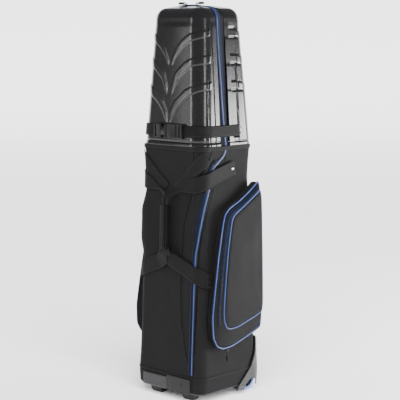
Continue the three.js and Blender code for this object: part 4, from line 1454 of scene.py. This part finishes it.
def wheel_guard(side, k):
    """A moulded corner that laps the cloth, with the wheel's arch cut in it."""
    z = np.linspace(14, 182, 56)
    w, d, r = body_half(z)
    cx, arc, cy = w - r, r * math.pi / 2, d - r
    flank = cx + arc + cy
    start = flank + np.interp(z, [14, 27, 90, 136, 182], [31, 34, 97, 118, 128])
    end = cx + arc + 2 * cy + arc + 26 - 20 * smooth(z, 60, 182)
    s = start[:, None] + (end - start)[:, None] * np.linspace(0, 1, 64)[None]
    height = np.repeat(z[:, None], 64, 1)
    edge = np.minimum(
        np.minimum(s - start[:, None], end[:, None] - s), np.minimum(height - 14, (182 - height) * 0.7 + 1)
    )
    bead = 1.0 * np.exp(-(((edge - 5) / 2.4) ** 2)) - 1.8 * (1 - smooth(edge, 0, 2.5))
    points, _ = on_form(body_half, k * s, height, 5.4 + bead + 4.5 * smooth(s - flank[:, None], 90, 150))
    if k < 0:
        points = points[:, ::-1]
    obj = skin(f"guard {side}", points, GUARD_PLASTIC, 1.9, hold=True)
    tyre_arch = turned(
        "arch", [(0.001, -60), (39, -60), (39, 60), (0.001, 60)], (k * 150, 106, 6), (1, 0, 0),
        GUARD_PLASTIC, segments=48, hold=True
    )
    back_slot = rounded_block(
        "back slot", (k * 120 - 15, 100, -10), (k * 120 + 15, 200, 77), 3, GUARD_PLASTIC, hold=True
    )
    for tool in (tyre_arch, back_slot):
        PLAN.pop(tool.name)
    cut_from(obj, [tyre_arch, back_slot])
    inner = bevelled(f"wheel well {side}", f"wheel_housing_{side}", BLACK_PLASTIC, 0.8, "bag", hold=True)
    for v in inner.data.vertices:
        w, d, _ = body_half(np.array(v.co.z * 1000))
        v.co.x = math.copysign(min(abs(v.co.x), float(w) / 1000 - 0.0045), v.co.x)
        v.co.y = min(v.co.y, (float(d) + SHIFT - 4.5) / 1000)
    joined(f"wheel guard {side}", [obj, inner], [f"wheel_housing_{side}"], "bag")


for side, k in SIDES:
    wheel_guard(side, k)

# ---- Nodes that show as they are ----
PLAIN_NODES = {"crown_pad": FOAM, "base_board": FOAM}
for side, k in SIDES:
    PLAIN_NODES[f"wheel_axle_{side}"] = NICKEL
    PLAIN_NODES[f"wheel_bearing_outer_{side}"] = PLAIN_NODES[f"wheel_bearing_inner_{side}"] = NICKEL
for node, finish in PLAIN_NODES.items():
    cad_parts[node].data.materials.clear()
    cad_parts[node].data.materials.append(finish)
for tool in (STITCH, TOOTH):
    bpy.data.objects.remove(tool)

# ---- Floor, light and camera ----
def floor():
    """A pale floor that curves up into a wall behind."""
    bend, far = 2.0, 10.0
    profile = [(-12, 0)]
    profile += [
        (far + bend * math.sin(t), bend - bend * math.cos(t)) for t in np.linspace(0, math.pi / 2, 24)
    ]
    profile += [(far + bend, 7)]
    away = np.array([-math.sin(CAMERA_TURN), math.cos(CAMERA_TURN)])
    along = np.array([math.cos(CAMERA_TURN), math.sin(CAMERA_TURN)])
    points = [[*(away * a + along * b), z] for a, z in profile for b in (-14, 14)]
    mesh = bpy.data.meshes.new("floor")
    mesh.from_pydata(points, [], [(2 * i, 2 * i + 1, 2 * i + 3, 2 * i + 2) for i in range(len(profile) - 1)])
    mesh.polygons.foreach_set("use_smooth", [True] * len(mesh.polygons))
    obj = bpy.data.objects.new("floor", mesh)
    bpy.context.scene.collection.objects.link(obj)
    paint = Finish("pale floor", (0.9, 0.9, 0.9), 0.6, Specular_IOR_Level=0.1)
    paint.shade(paint.noise(paint.place(), 3, 2, 0.5), 0.99, 1.01)
    obj.data.materials.append(paint.material)


def softbox(name, turn, distance, height, size, power, aim=(0, 0, 0.7), mirrored=True):
    """A rectangular light at an angle round the bag, from the front (-Y) towards its right side."""
    light = bpy.data.lights.new(name, "AREA")
    light.shape, light.size, light.size_y, light.energy = "RECTANGLE", size[0], size[1], power
    obj = bpy.data.objects.new(name, light)
    bpy.context.scene.collection.objects.link(obj)
    obj.visible_glossy = mirrored
    turn = math.radians(turn)
    obj.location = (distance * math.sin(turn), -distance * math.cos(turn), height)
    obj.rotation_euler = (Vector(aim) - obj.location).to_track_quat("-Z", "Y").to_euler()
    return obj


CAMERA_TURN = math.radians(43.8)
CAMERA_TILT = math.radians(7.32)
floor()
softbox("front soft light", 20, 4.5, 3.0, (2.4, 2.0), 40, mirrored=False)
softbox("left soft light", -75, 4.0, 2.6, (1.6, 1.6), 16, mirrored=False)
softbox("overhead light", 60, 2.4, 4.2, (2.6, 2.6), 40, mirrored=False)
softbox("front strip light", -32, 3.6, 1.2, (0.42, 1.15), 11, (0, 0, 1.05))
softbox("edge strip light", -28, 3.6, 1.2, (0.14, 1.15), 17, (0, 0, 1.05))
softbox("side strip light", 73, 3.2, 1.0, (0.26, 1.2), 30, (0, 0, 1.0))
softbox("side panel light", 140, 2.9, 0.6, (1.9, 0.95), 170, (0, 0, 0.95))
room_light = softbox("room light", 50, 5, 5, (1, 1), 1, (0, 0, 0), mirrored=False)
room_light.data.type = "SUN"
room_light.data.angle, room_light.data.energy = math.radians(60), 9.5

world = bpy.data.worlds.new("studio")
bpy.context.scene.world = world
world.use_nodes = True
world.node_tree.nodes["Background"].inputs["Color"].default_value = (0.9, 0.92, 0.95, 1)
world.node_tree.nodes["Background"].inputs["Strength"].default_value = 0.3

lens = bpy.data.cameras.new("camera")
lens.lens, lens.sensor_width, lens.shift_x = 117.2, 36, 0.0072
eye = bpy.data.objects.new("camera", lens)
bpy.context.scene.collection.objects.link(eye)
eye.location = (4.311 * math.sin(CAMERA_TURN), -4.311 * math.cos(CAMERA_TURN) + SHIFT / 1000, 1.2)
eye.rotation_euler = (math.pi / 2 - CAMERA_TILT, 0, CAMERA_TURN)
bpy.context.scene.camera = eye
